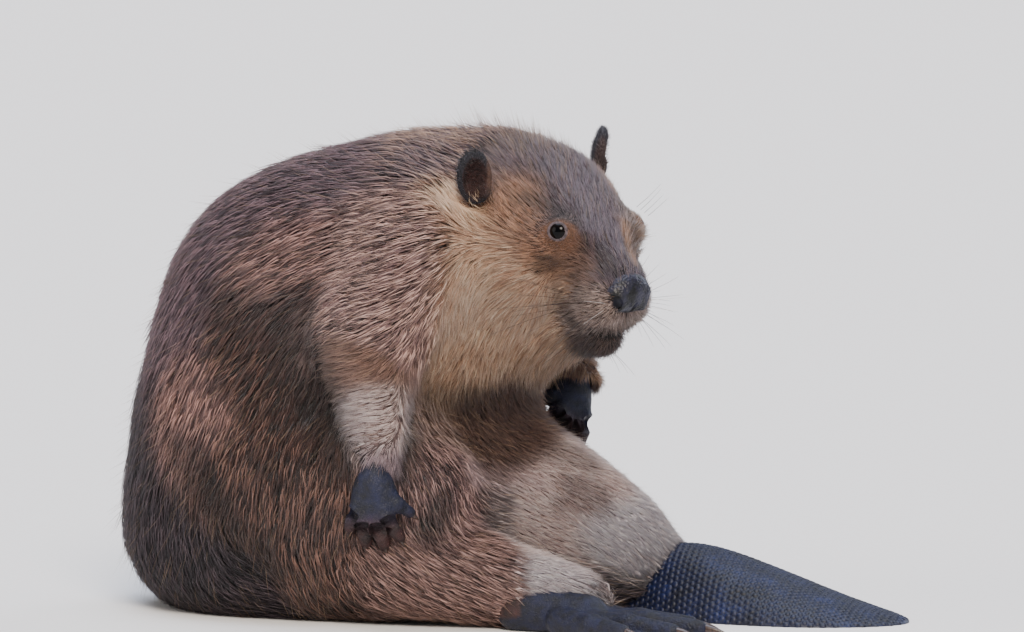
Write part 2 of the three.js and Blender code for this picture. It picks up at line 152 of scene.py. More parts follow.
WORLD = Frame(np.zeros(3), np.eye(3))
HEAD = Frame(np.array([72.0, -10.0, 285.0]), turned("Z", -33) @ turned("Y", 19))


class Side(Enum):
    """A side of the body, as the sign of its y."""

    RIGHT = -1
    LEFT = 1

    @property
    def word(self) -> str:
        """The side as names of nodes and pieces write it."""
        return self.name.lower()


# ---------------- forms


class Form:
    """A solid, known by the distance from a point to its surface, in millimetres."""

    FLATTEST = 0.3  # the least squared slope that a step is divided by

    def distance(self, p: Array) -> Array:
        """Distance from layout points, negative inside."""
        raise NotImplementedError

    @cached_property
    def ball(self) -> tuple[Array, float]:
        """A ball that holds the form: centre and radius."""
        raise NotImplementedError

    def slope(self, p: Array, step: float = 0.25) -> tuple[Array, Array]:
        """Distance and its gradient."""
        d = self.distance(p)
        g = np.empty_like(p)
        for k in range(3):
            q = p.copy()
            q[:, k] += step
            g[:, k] = (self.distance(q) - d) / step
        return d, g

    def settle(self, p: Array, level: Array | float = 0.0, rounds: int = 3, reach: float = 6.0) -> Array:
        """Moves points to where the distance is level.

        Args:
            p: the points.
            level: the distance to reach, one for all or one each.
            rounds: Newton steps.
            reach: the longest step.

        Returns:
            The moved points.
        """
        for _ in range(rounds):
            d, g = self.slope(p)
            move = np.clip((d - level) / np.maximum((g * g).sum(1), self.FLATTEST), -reach, reach)
            p = p - g * move[:, None]
        return p


@dataclass(frozen=True)
class Ellipsoid(Form):
    """An ellipsoid of three half-axes in a frame."""

    CORE = 1e-6  # nearer its middle than this share of a radius is the middle

    centre: Vec
    radii: Vec
    frame: Frame = WORLD

    def distance(self, p: Array) -> Array:
        """See Form."""
        q = (self.frame.inside(p) - np.array(self.centre)) / np.array(self.radii)
        near = np.sqrt((q * q).sum(1))
        q /= np.array(self.radii)
        far = np.sqrt((q * q).sum(1))
        return np.where(near < self.CORE, -min(self.radii), near * (near - 1) / np.maximum(far, TINY))

    @cached_property
    def ball(self) -> tuple[Array, float]:
        """See Form."""
        return self.frame.outside(np.array(self.centre)), max(self.radii)


@dataclass(frozen=True)
class Limb(Form):
    """A limb that tapers from radius ra at a to rb at b, stretched sideways by wide."""

    a: Vec
    ra: float
    b: Vec
    rb: float
    wide: float = 1.0
    frame: Frame = WORLD

    def distance(self, p: Array) -> Array:
        """See Form."""
        squeeze = np.array([1, 1 / self.wide, 1])
        start, end = np.array(self.a) * squeeze, np.array(self.b) * squeeze
        axis = end - start
        length = float(np.linalg.norm(axis))
        axis = axis / length
        lean = (self.ra - self.rb) / length
        reach = math.sqrt(1 - lean * lean)
        q = self.frame.inside(p) * squeeze - start
        along = q @ axis
        square = (q * q).sum(1)
        out = np.sqrt(np.maximum(square - along * along, 0))
        foot = along * reach - out * lean
        body = out * reach + along * lean - self.ra
        body = np.where(foot > length * reach, np.hypot(along - length, out) - self.rb, body)
        return np.where(foot < 0, np.sqrt(square) - self.ra, body)

    @cached_property
    def ball(self) -> tuple[Array, float]:
        """See Form."""
        a, b = np.array(self.a), np.array(self.b)
        half = np.linalg.norm(b - a) / 2 + max(self.ra, self.rb) * max(self.wide, 1)
        return self.frame.outside((a + b) / 2), float(half)


def gap(p: Array, form: Form) -> Array:
    """A lower bound of the distance to a form."""
    centre, radius = form.ball
    return np.linalg.norm(p - centre, axis=1) - radius


@dataclass(frozen=True)
class Blend(Form):
    """A smooth union: forms closer than soft run into each other in a fillet."""

    soft: float
    forms: tuple[Form, ...]

    def distance(self, p: Array) -> Array:
        """See Form."""
        d = self.forms[0].distance(p)
        for form in self.forms[1:]:
            near = gap(p, form) < d + self.soft
            if near.any():
                a, e = d[near], form.distance(p[near])
                h = np.maximum(self.soft - np.abs(a - e), 0) / self.soft
                d[near] = np.minimum(a, e) - h * h * self.soft / 4
        return d

    @cached_property
    def ball(self) -> tuple[Array, float]:
        """See Form."""
        balls = [form.ball for form in self.forms]
        middle = np.mean([centre for centre, _ in balls], axis=0)
        return middle, max(float(np.linalg.norm(c - middle)) + r for c, r in balls) + self.soft / 2


@dataclass(frozen=True)
class Changed(Form):
    """A body that something is done to, without leaving its ball."""

    body: Form

    @cached_property
    def ball(self) -> tuple[Array, float]:
        """See Form."""
        return self.body.ball


@dataclass(frozen=True)
class Carve(Changed):
    """A body with cuts taken out of it, their edges rounded by soft."""

    cuts: tuple[Form, ...]
    soft: float

    def distance(self, p: Array) -> Array:
        """See Form."""
        d = self.body.distance(p)
        for cut in self.cuts:
            near = gap(p, cut) < self.soft - d
            if near.any():
                a, e = d[near], -cut.distance(p[near])
                h = np.maximum(self.soft - np.abs(a - e), 0) / self.soft
                d[near] = np.maximum(a, e) + h * h * self.soft / 4
        return d


# ---------------- the flesh, at the coat's outline

TRUNK = Blend(40, (
    Ellipsoid((-98, 0, 98), (113, 118, 112)),  # rump
    Ellipsoid((-104, 0, 44), (106, 108, 66)),  # the seat
    Ellipsoid((-66, 0, 180), (128, 112, 124)),  # back and flanks
    Ellipsoid((-4, -2, 220), (94, 88, 92)),  # withers and chest
))
TAIL_ROOT = Blend(16, (
    Limb((10, 4, 74), 80, (146, 22, 28), 26, wide=1.2),
    Limb((60, 6, 72), 52, (110, 14, 46), 41, wide=1.15),  # the belly pushed forward
))
NECK = Limb((6, -2, 226), 84, (40, -2, 260), 60)
NEAR_ARM = Blend(12, (
    Limb((8, -58, 232), 52, (-20, -104, 190), 40),
    Limb((-20, -104, 190), 40, (-6, -130, 104), 17),
))
FAR_ARM = Blend(12, (
    Limb((12, 60, 230), 52, (24, 86, 184), 38),
    Limb((24, 86, 184), 38, (84, 54, 148), 17),
))


def hind_leg(side: Side) -> Form:
    """Haunch, knee and shank of one side."""
    s = side.value
    return Blend(16, (
        Ellipsoid((-54, 74 * s, 84), (96, 56, 90)),
        Limb((-20, 92 * s, 88), 38, (16, 92 * s, 86), 33),
        Limb((-10, 92 * s, 44), 42, (118, 87 * s, 20), 24),
    ))


SKULL = Blend(14, (
    *(Ellipsoid((0, 17 * s, -22), (58, 40, 45), HEAD) for s in (1, -1)),
    *(Ellipsoid((45, 20 * s, -16), (30, 20, 20), HEAD) for s in (1, -1)),  # brows
    Limb((40, 0, -26), 31, (88, 0, -36), 20, 1.12, HEAD),  # bridge
    *(Ellipsoid((18, 35 * s, -52), (48, 33, 44), HEAD) for s in (1, -1)),  # cheeks
    *(Ellipsoid((83, 13 * s, -50), (25, 17, 20), HEAD) for s in (1, -1)),  # lips
    Ellipsoid((70, 0, -76), (34, 23, 19), HEAD),  # chin
    Ellipsoid((18, 0, -84), (56, 50, 40), HEAD),  # throat
))
FLESH = Blend(12, (
    Blend(18, (Blend(30, (TRUNK, NECK, TAIL_ROOT)), SKULL)),
    Blend(8, (hind_leg(Side.LEFT), hind_leg(Side.RIGHT))),
    Blend(8, (NEAR_ARM, FAR_ARM)),
))


# ---------------- eyes, ears, hands and feet as forms

EYE_CENTRE = (60.0, 32.2, -9.8)  # the left one, in the head's frame
EYE_RADIUS = 7.5
GAZE = unit(np.array([0.36, 0.88, 0.24]))  # the way the left eye looks
EAR_SIZE = (12.0, 6.5, 18.5)  # half of its width, thickness and height
EAR_WALL = 3.5
EAR_BACK = 12  # how far both tilt back, degrees
EAR_STANCE = {Side.LEFT: ((-6, 53, 14), 4, 40), Side.RIGHT: ((6, 66.5, 8), 8, 46)}  # middle, lean and turn
ON_EAR = 0.7  # places nearer the ear's form than this are on it, mm


def mirrored(p: Vec, side: Side) -> Vec:
    """A place given for the left, on the side asked for."""
    return (p[0], side.value * p[1], p[2])


def eye_frame(side: Side) -> Frame:
    """The frame of one eye: x the way it looks, z up."""
    look = HEAD.way(GAZE * np.array([1, side.value, 1]))
    return Frame.at(tuple(HEAD.outside(np.array(mirrored(EYE_CENTRE, side)))), tuple(look),
                    tuple(HEAD.way(np.array([-0.25, 0.0, 1.0]))))


def ear_frame(side: Side) -> Frame:
    """The frame of one ear: x across it, y through it, z to its tip."""
    centre, lean, turn = EAR_STANCE[side]
    stance = turned("Y", -EAR_BACK) @ turned("X", -side.value * lean) @ turned("Z", -side.value * turn)
    return HEAD.child(mirrored(centre, side), stance)


def ear_form(side: Side) -> Form:
    """A thick leaf, hollowed on its front and rooted in the head."""
    frame = ear_frame(side)
    wide, thick, tall = EAR_SIZE
    s = side.value
    leaf = Ellipsoid((0, 0, 0), (wide - 0.6, thick - 1, tall - 0.6), frame)
    hollow = Ellipsoid((1, s * (EAR_WALL + 0.6), -1), (wide - 4.2, thick - 1, tall - 4.6), frame)
    fold = Ellipsoid((7, s * 2.5, -9), (3.2, 2.6, 7.5), frame)
    return Blend(2.5, (Carve(leaf, (hollow,), 2.0), fold))


def on_ear(p: Array, side: Side) -> Array:
    """Which places lie on the ear of one side."""
    return ear_form(side).distance(p) < ON_EAR


def ear_shades(p: Array, side: Side) -> Array:
    """Linear shades of an ear: slate behind and on the rim, red-brown in the hollow, tan in front."""
    slate, red, tan = linear("211f29"), linear("33140f"), linear("5c4034")
    q = ear_frame(side).inside(p)
    wide, _, tall = EAR_SIZE
    across = ((q[:, 0] - 1) / (wide - 3.4)) ** 2 + ((q[:, 2] + 1) / (tall - 3.8)) ** 2
    within = (1 - smooth(across, 0.8, 1.1)) * smooth(side.value * q[:, 1], -2.6, -1.6)
    front = smooth(q[:, 0], wide - 4.6, wide - 2.2) * (0.35 if side is Side.LEFT else 1.0)
    colour = slate + (red - slate) * within[:, None]
    return colour + (tan - colour) * front[:, None]


Claw = tuple[Frame, float, float]  # its frame, length and radius


def claw_on(limb: Frame, tip: Vec, ahead: Vec, length: float, radius: float) -> Claw:
    """A claw that stands on the tip of a digit."""
    place = Frame.at(tip, ahead, (0, 0, 1))
    return limb.child(tuple(place.origin), place.axes), length, radius


@dataclass(frozen=True)
class Hand:
    """A hand in its own frame: x from the wrist to the fingers, z out of its back."""

    frame: Frame
    thumb: int  # 1 where the thumb lies on the frame's +y side
    reach: tuple[float, ...] = (20, 27, 30, 29, 24)
    fan: tuple[float, ...] = (40, 17, 4, -10, -26)
    spread: float = 1.25

    def finger(self, i: int) -> tuple[Vec, Vec, Vec, Vec]:
        """Root, knuckle and tip of finger i, and the way its claw points."""
        way = math.radians(self.fan[i]) * self.thumb
        back, past, rise, curl = (10, 7, -2, -8) if i == 0 else (11, 11, 2, -10)
        out = self.reach[i]
        root, knuckle, tip = (
            (along * math.cos(way), along * math.sin(way) * self.spread, up)
            for along, up in ((out - back, rise), (out, rise + 1.6), (out + past, curl)))
        return root, knuckle, tip, (math.cos(way), math.sin(way), -0.5)

    def form(self) -> Form:
        """The hand's flesh: wrist, palm and fingers with their knuckles."""
        f = self.frame
        fingers: list[Form] = []
        for i in range(5):
            root, knuckle, tip, _ = self.finger(i)
            girth, end = (4.6, 3.6) if i == 0 else (5.4, 4.0)
            fingers.append(Limb(root, girth, knuckle, girth - 0.3, 1.0, f))
            fingers.append(Limb(knuckle, girth - 0.2, tip, end, 1.0, f))
        wrist = Limb((-22, 0, -6), 8, (2, 0, -2), 10, 1.0, f)
        palm = Blend(8, (wrist, Ellipsoid((12, 0, -1), (17, 15.5, 9), f)))
        return Blend(3.2, (palm, *fingers))

    def claws(self) -> list[Claw]:
        """The claws, from the inner digit outwards."""
        ends = [(9.0 if i == 0 else 12.0, *self.finger(i)[2:]) for i in range(5)]
        return [claw_on(self.frame, tip, way, length, 2.5) for length, tip, way in ends]


HANDS = {
    Side.RIGHT: Hand(Frame.at((-6, -139, 98), (0.03, -0.04, -1), (0, -1, 0)), 1),
    Side.LEFT: Hand(Frame.at((79, 50, 144), (-0.1, -0.55, -0.8), (0.7, -0.45, 0.5)), -1),
}


@dataclass(frozen=True)
class Foot:
    """A webbed hind foot in its own frame: heel over the origin, x to the toes, z up."""

    frame: Frame
    inside: int  # 1 where the foot's inner side is the frame's +y side
    toes: tuple[float, ...] = (118, 146, 158, 150, 126)
    fan: tuple[float, ...] = (20, 10, 0, -11, -23)
    fork: float = 22

    def on_toe(self, i: int, out: float, up: float) -> Vec:
        """A place on toe i's line, out from the heel and up from the floor."""
        way = math.radians(self.fan[i]) * self.inside
        past = out - self.fork
        return (self.fork + past * math.cos(way), past * math.sin(way), up)

    def form(self) -> Form:
        """The foot's flesh: instep, toes with a joint each, and the webs between them."""
        f = self.frame
        parts: list[Form] = [Limb((28, 0, 14), 17.5, (72, 0, 9), 15.5, 1.0, f)]
        for i, end in enumerate(self.toes):
            joint = self.on_toe(i, end * 0.72, 8.2)
            parts.append(Limb(self.on_toe(i, 62, 8.5), 8.6, joint, 7.0, 1.0, f))
            parts.append(Limb(joint, 7.2, self.on_toe(i, end - 8, 5.8), 5.4, 1.0, f))
        for i in range(4):
            middle = np.mean([self.on_toe(k, self.toes[k] * 0.66, 2.6) for k in (i, i + 1)], axis=0)
            way = (self.fan[i] + self.fan[i + 1]) / 2 * self.inside
            web = f.child(tuple(middle), turned("Z", way))
            parts.append(Ellipsoid((0, 0, 0), (self.toes[i] * 0.27, 12, 3.2), web))
        return Blend(3.5, tuple(parts))

    def claws(self) -> list[Claw]:
        """The claws, from the inner digit outwards."""
        found = []
        for i, end in enumerate(self.toes):
            way = math.radians(self.fan[i]) * self.inside
            ahead = (math.cos(way), math.sin(way), -0.06)
            found.append(claw_on(self.frame, self.on_toe(i, end - 8, 6), ahead, 20.0, 3.4))
        return found


def heading(degrees: float) -> Vec:
    """A level direction, turned from +X."""
    return (math.cos(math.radians(degrees)), math.sin(math.radians(degrees)), 0.0)


FEET = {
    Side.RIGHT: Foot(Frame.at((55, -96, 0), heading(-6), (0, 0, 1)), 1),
    Side.LEFT: Foot(Frame.at((55, 98, 0), heading(14), (0, 0, 1)), -1),
}


# ---------------- the coat: depth, hair and lie


def linear(hexed: str) -> Array:
    """A display colour such as 'a08070' as linear light."""
    c = np.array([int(hexed[i : i + 2], 16) for i in (0, 2, 4)]) / 255
    return np.where(c <= 0.04045, c / 12.92, ((c + 0.055) / 1.055) ** 2.4)


class Slot(Enum):
    """The record's material slots."""

    BACK = "back_coat"
    FLANK = "flank_coat"
    FACE = "face_coat"
    ARM = "arm_coat"
    BELLY = "belly_coat"
    HIDE = "bare_skin"
    SCALES = "tail_scales"
    CLAW = "claw"
    EYE = "eye"


@dataclass(frozen=True)
class Hair:
    """One kind of hair.

    Attributes:
        slot: the finish its piece takes, and the piece's name.
        length: of a lock, mm.
        girth: half of a lock's width, mm.
        density: locks to a square millimetre.
        lift: how far tips stand off, as a share of the coat's depth.
        stray: how far locks turn from the lie, degrees.
        clump: how strongly tips gather, 0 to 1.
        dark: the shade between locks.
        mid: the coat's usual shade.
        light: the shade of its palest locks.
    """

    slot: Slot
    length: float
    girth: float
    density: float
    lift: float
    stray: float
    clump: float
    dark: str
    mid: str
    light: str

    def numbers(self) -> Array:
        """Every number that runs over from one kind to the next, in the order of SIZES to LIGHT."""
        plain = [self.length, self.girth, self.density, self.lift, self.stray, self.clump]
        return np.concatenate([plain, linear(self.dark), linear(self.mid), linear(self.light)])


SIZES, DARK, MID, LIGHT = slice(0, 6), slice(6, 9), slice(9, 12), slice(12, 15)
LENGTH, DENSITY = 0, 2  # places among the sizes

# The mauve cast of BACK, NAPE, RUMP and CROWN is partly the wet coat's own and partly a painted reflection
# of the sky.
BACK = Hair(Slot.BACK, 27, 0.42, 0.50, 0.75, 5, 0.35, "1b1217", "45343f", "8e7279")
NAPE = Hair(Slot.BACK, 24, 0.38, 0.55, 0.95, 10, 0.4, "30242a", "6e5866", "dcb69c")
RUMP = Hair(Slot.BACK, 32, 0.42, 0.50, 0.9, 8, 0.45, "060406", "17131a", "52444b")
SIDE = Hair(Slot.FLANK, 30, 0.40, 0.52, 0.85, 8, 0.55, "1e1315", "66494a", "d0a092")
FLANK = Hair(Slot.FLANK, 34, 0.40, 0.50, 1.0, 10, 0.7, "020101", "0e0809", "80594b")
HAUNCH = Hair(Slot.FLANK, 32, 0.40, 0.50, 1.0, 9, 0.65, "060304", "241619", "946c5d")
KNEE = Hair(Slot.FLANK, 26, 0.38, 0.55, 1.0, 9, 0.55, "211416", "694c4e", "c8a096")
SHANK = Hair(Slot.FLANK, 24, 0.36, 0.58, 0.8, 7, 0.5, "33201f", "7a5852", "c49c90")
SHOULDER = Hair(Slot.FLANK, 24, 0.36, 0.60, 0.85, 8, 0.55, "2c1c1a", "8a6868", "e6bcac")
ARM = Hair(Slot.ARM, 17, 0.34, 1.15, 0.9, 8, 0.5, "38221e", "80594c", "d0a48e")
FOREARM = Hair(Slot.ARM, 14, 0.32, 1.25, 0.9, 6, 0.7, "8a6660", "f0d0ca", "fff0ea")
WRIST = Hair(Slot.ARM, 9, 0.28, 1.4, 0.8, 7, 0.35, "544046", "b8989e", "e6ccce")
CROWN = Hair(Slot.FACE, 13, 0.28, 1.35, 0.9, 5, 0.4, "100a0f", "30222b", "775c65")
TEMPLE = Hair(Slot.FACE, 10, 0.28, 1.4, 0.9, 9, 0.4, "3c2018", "98664c", "dca884")
BROW = Hair(Slot.FACE, 8, 0.25, 1.6, 0.9, 8, 0.3, "281a1a", "6c5048", "ae8a74")
TUFT = Hair(Slot.FACE, 15, 0.25, 1.5, 2.6, 16, 0.3, "6a5044", "c09c84", "f0d4b8")
SNOUT = Hair(Slot.FACE, 6, 0.24, 1.8, 0.9, 12, 0.2, "1c100e", "644638", "b28872")
GOLD = Hair(Slot.FACE, 14, 0.29, 1.3, 0.9, 7, 0.4, "b87a50", "fac094", "ffe6c4")
CHEEK = Hair(Slot.FACE, 17, 0.30, 1.2, 0.95, 8, 0.5, "c0805a", "fac49c", "ffe6cc")
JOWL = Hair(Slot.FACE, 15, 0.34, 1.0, 1.0, 9, 0.6, "b07650", "f6ba90", "ffe2c2")
LIP = Hair(Slot.FACE, 5.5, 0.25, 1.8, 1.0, 16, 0.25, "30201c", "8c6858", "e6cfc2")
CHIN = Hair(Slot.FACE, 8, 0.27, 1.6, 1.1, 14, 0.3, "0c0605", "2e1f1d", "70574f")
# painted shade: the belly's top under the jowl's overhang is darkened for the shade that falls there
SHADED_BELLY = Hair(Slot.BELLY, 12, 0.36, 0.95, 0.7, 10, 0.35, "1c0e0b", "4a2e24", "8c6a5a")
BELLY = Hair(Slot.BELLY, 10, 0.36, 0.95, 0.7, 10, 0.35, "c89e96", "fcd8d0", "ffeee6")
RIDGE = Hair(Slot.BELLY, 12, 0.36, 0.95, 0.7, 8, 0.5, "ccb8c0", "faecf0", "fff8f8")
FRINGE = Hair(Slot.BELLY, 23, 0.34, 1.1, 1.1, 8, 0.7, "9c8078", "fae6e6", "fff8f4")


@dataclass(frozen=True)
class Zone:
    """A part of the coat: where it lies, how far it reaches, which way its hair points.

    Attributes:
        place: its middle.
        radius: its reach, mm.
        lie: the way the hair points.
        hair: its kind of hair.
        frame: the frame of place and lie.
        paired: whether the other side of the body has it too.
    """

    place: Vec
    radius: float
    lie: Vec
    hair: Hair
    frame: Frame = WORLD
    paired: bool = True

    def sides(self) -> list[tuple[Array, float, Array, Hair]]:
        """Middle, reach, lie and hair on each side that has it, in the layout."""
        found = []
        for sign in (1, -1) if self.paired else (1,):
            mirror = np.array([1, sign, 1])
            place = self.frame.outside(np.array(self.place) * mirror)
            found.append((place, self.radius, unit(self.frame.way(np.array(self.lie) * mirror)), self.hair))
        return found


def on_head(place: Vec, radius: float, lie: Vec, hair: Hair) -> Zone:
    """A zone in the head's frame, given for the left side."""
    return Zone(place, radius, lie, hair, HEAD)


def single(place: Vec, radius: float, lie: Vec, hair: Hair) -> Zone:
    """A zone on one side only."""
    return Zone(place, radius, lie, hair, WORLD, False)


ZONES = (
    on_head((90, 8, -15), 18, (-1, 0, 0.3), CROWN),  # bridge of the nose
    on_head((50, 10, 7), 26, (-1, 0, 0.1), CROWN),  # forehead
    on_head((4, 14, 22), 32, (-1, 0, -0.05), CROWN),  # crown
    on_head((-44, 16, 8), 32, (-1, 0, -0.15), NAPE),  # back of the head
    on_head((66, 28, 3), 11, (-0.95, 0.25, 0.15), BROW),
    Zone((62, 30, 6), 12, (-0.4, 0.8, 0.5), TUFT, HEAD, False),  # the tuft on the left brow
    Zone((74, 27, -8), 9, (-0.3, 0.9, 0.3), TUFT, HEAD, False),
    Zone((83, 19, -18), 8, (-0.3, 0.9, 0.2), TUFT, HEAD, False),
    on_head((32, 42, 0), 18, (-1, 0.05, 0.05), TEMPLE),
    on_head((84, 25, -22), 12, (-0.8, 0.5, 0.1), SNOUT),
    on_head((60, 37, -28), 13, (-0.95, 0.2, -0.2), TEMPLE),  # under the eye
    on_head((54, 43, -56), 20, (-0.85, 0.1, -0.5), CHEEK),
    on_head((20, 62, -52), 26, (-0.75, 0.1, -0.65), CHEEK),  # back of the cheek
    on_head((42, 52, -95), 24, (-0.75, 0.1, -0.6), JOWL),
    on_head((94, 20, -50), 11, (-0.7, 0.55, -0.4), LIP),
    on_head((80, 25, -64), 9, (-0.85, 0.3, -0.4), LIP),  # corner of the mouth
    on_head((92, 8, -84), 14, (-0.6, 0.1, -0.8), CHIN),
    on_head((62, 14, -106), 22, (-0.7, 0.05, -0.7), JOWL),  # throat
    on_head((0, 62, -24), 17, (-0.95, 0.1, -0.25), GOLD),  # below the ear
    on_head((-34, 58, 2), 20, (-1, 0.05, -0.1), BACK),  # behind the ear
    Zone((16, 24, 316), 38, (-1, 0, 0.05), NAPE),
    Zone((2, 94, 246), 28, (-0.85, 0, -0.5), SHOULDER),  # side of the neck
    Zone((-54, 30, 305), 44, (-1, 0, -0.05), BACK),
    Zone((-108, 48, 272), 42, (-0.8, 0, -0.6), BACK),
    Zone((-160, 58, 207), 42, (-0.42, 0, -0.9), BACK),
    Zone((-188, 56, 126), 42, (-0.15, 0, -1), RUMP),
    Zone((-165, 85, 45), 40, (0.12, 0, -1), RUMP),
    Zone((-71, 91, 237), 34, (-0.8, 0, -0.55), SIDE),
    Zone((-89, 101, 190), 34, (-0.5, 0, -0.85), FLANK),
    Zone((-70, 106, 150), 28, (-0.28, 0, -0.95), FLANK),
    Zone((-138, 94, 152), 34, (-0.3, 0, -0.95), SIDE),
    Zone((-104, 111, 112), 26, (-0.25, 0, -0.95), HAUNCH),
    Zone((-63, 120, 88), 32, (-0.1, 0, -1), HAUNCH),
    Zone((-28, 118, 104), 22, (-0.05, 0, -1), HAUNCH),
    Zone((-60, 118, 34), 28, (0.25, 0, -0.95), HAUNCH),
    Zone((22, 112, 92), 20, (0.35, 0, -0.9), KNEE),
    Zone((-4, 120, 32), 24, (0.75, 0, -0.6), SHANK),
    Zone((48, 112, 28), 24, (0.9, 0, -0.35), SHANK),
    Zone((92, 96, 30), 18, (0.9, 0, -0.3), RIDGE),
    # the belly's top, in painted shade under the jowl's overhang
    Zone((54, 38, 148), 24, (0.1, 0, -1), SHADED_BELLY),
    Zone((60, 30, 122), 22, (0.5, 0.1, -0.8), SHADED_BELLY),
    Zone((90, 28, 90), 26, (0.85, 0.1, -0.5), BELLY),
    Zone((86, 62, 52), 26, (0.85, 0, -0.35), BELLY),
    Zone((122, 34, 58), 22, (0.85, 0, -0.5), RIDGE),
    Zone((140, 22, 50), 20, (0.8, 0, -0.6), RIDGE),
    Zone((158, 40, 28), 15, (0.85, 0, -0.5), FRINGE),
    Zone((160, 10, 34), 14, (0.92, 0, -0.38), FRINGE),
    Zone((-90, 30, 0), 70, (1, 0, 0), RUMP),  # underneath
    Zone((60, 30, 0), 50, (1, 0, 0), RUMP),
    single((-9, -92, 258), 24, (-0.95, -0.1, -0.3), SHOULDER),
    single((-12, -128, 215), 24, (-0.9, 0, -0.42), SHOULDER),
    single((-46, -116, 195), 20, (-0.85, 0, -0.5), SHOULDER),
    single((-18, -136, 176), 20, (-0.95, 0, -0.25), ARM),
    single((-6, -136, 143), 18, (-0.97, 0, -0.2), FOREARM),
    single((0, -133, 110), 11, (-0.3, 0, -0.95), WRIST),
    single((10, 96, 250), 28, (-0.9, 0.1, -0.4), SHOULDER),
    single((24, 120, 190), 26, (-0.6, 0, -0.8), ARM),
    single((55, 82, 160), 20, (0.3, 0, -0.95), FOREARM),
    single((68, 64, 142), 12, (0.4, 0, -0.9), WRIST),
)


@dataclass(frozen=True)
class Marking:
    """A patch of another shade, for a marking of the coat and for painted shade alike: full inside its
    form, gone a little way outside it.
    """

    form: Form
    fade: float
    shade: str
    strength: float

    def over(self, p: Array, colour: Array) -> Array:
        """The colours with this patch laid over them."""
        share = self.strength * (1 - smooth(self.form.distance(p), 0, self.fade))
        return colour + share[:, None] * (linear(self.shade) - colour)


def both(places: tuple[Vec, float, Vec, float], fade: float, shade: str, strength: float,
         frame: Frame = WORLD) -> list[Marking]:
    """A long patch given for the left side, on both sides."""
    a, ra, b, rb = places
    return [Marking(Limb(mirrored(a, side), ra, mirrored(b, side), rb, 1, frame), fade, shade, strength)
            for side in Side]


def patch(a: Vec, ra: float, b: Vec, rb: float, fade: float, shade: str, strength: float,
          frame: Frame = WORLD) -> Marking:
    """A long patch on one side only."""
    return Marking(Limb(a, ra, b, rb, 1, frame), fade, shade, strength)


# Markings of the coat, and patches of painted shade in creases, folds and under overhangs
MARKINGS_AND_PAINTED_SHADE = (
    patch((-65, -113, 196), 16, (-46, -120, 147), 16, 18, "0d080b", 0.85),  # painted shade in the crease behind the elbow
    patch((-46, -120, 147), 12, (-32, -130, 108), 8, 12, "0d080b", 0.75),
    patch((-136, -92, 208), 4, (-70, -112, 200), 14, 20, "1a1015", 0.6),  # painted shade under the ribs, running into the crease behind the elbow
    patch((-150, -104, 112), 8, (-123, -118, 84), 8, 11, "0e0a0d", 0.75),  # painted shade in the crease between rump and haunch
    patch((-123, -118, 84), 8, (-84, -120, 36), 9, 11, "0e0a0d", 0.75),
    # painted shade in the same creases on the left side: between rump and haunch, and behind the elbow
    patch((-150, 104, 112), 8, (-84, 120, 36), 9, 12, "0e0a0d", 0.7),
    patch((-64, 116, 196), 14, (-40, 124, 120), 12, 16, "120b0f", 0.7),
    patch((17, -88, 146), 5, (40, -66, 141), 6, 9, "20120e", 0.8),  # painted shade in the fold under the jowl
    patch((40, -66, 141), 6, (73, -4, 137), 6, 9, "251511", 0.75),
    patch((14, -106, 136), 3, (10, -126, 100), 3, 8, "150d0d", 0.8),  # painted shadow along the inside of the arm
    patch((66, -33, 132), 8, (104, -8, 104), 9, 12, "3d241f", 0.75),  # painted shade on the belly below the jowl's overhang
    # brown patches of the belly
    patch((100, -34, 88), 5, (118, -22, 84), 5, 9, "4a2c28", 0.75),
    patch((96, -44, 76), 3, (122, -26, 72), 4, 7, "5a3834", 0.65),
    patch((84, -36, 110), 3, (96, -30, 104), 3, 7, "4a2c28", 0.65),
    patch((48, -80, 99), 5, (86, -52, 94), 5, 10, "dcbcbc", 0.65),  # the pale band over the thigh
    patch((35, -117, 84), 5, (26, -123, 62), 6, 8, "120a0c", 0.85),  # painted shade in the fold of the knee
    patch((150, -16, 4), 10, (158, 40, 2), 10, 7, "20141a", 0.85),  # painted shadow of the fringe over the tail's root
    *both(((80, 13, -10), 3.5, (93, 16, -22), 5), 6, "150d11", 0.9, HEAD),  # before the eyes
    *both(((67, 27, 1), 2.5, (76, 27, -12), 4), 5, "150d11", 0.9, HEAD),
    *both(((68, 37, -30), 3.5, (56, 41, -35), 5), 5, "2a1813", 0.9, HEAD),  # painted shade in the creases under the eyes
    *both(((50, 30, 4), 2.5, (30, 44, 6), 3.5), 6, "1c1114", 0.75, HEAD),  # over the temples
    *both(((105, 9, -66), 1.5, (76, 25, -67), 2.5), 3, "1b1214", 0.85, HEAD),  # the line of the mouth
    patch((66, 17, 1), 2.5, (90, 11, -16), 3, 4, "c8966c", 0.85, HEAD),  # golden streaks on the bridge
    *(Marking(Ellipsoid((3, -1.5 * side.value, -4), (8, 12, 8.5), eye_frame(side)), 6, "a06c48", 0.5)
      for side in Side),  # tan round the eyes
    *(Marking(Ellipsoid((7, 0, 0), (6, 7.3, 6.6), eye_frame(side)), 0.8, "6c6670", 0.75) for side in Side),
)


@dataclass(frozen=True)
class Thin:
    """A place where the coat is thinner."""

    place: Vec
    radius: float
    share: float  # of the depth that is taken away
    frame: Frame = WORLD


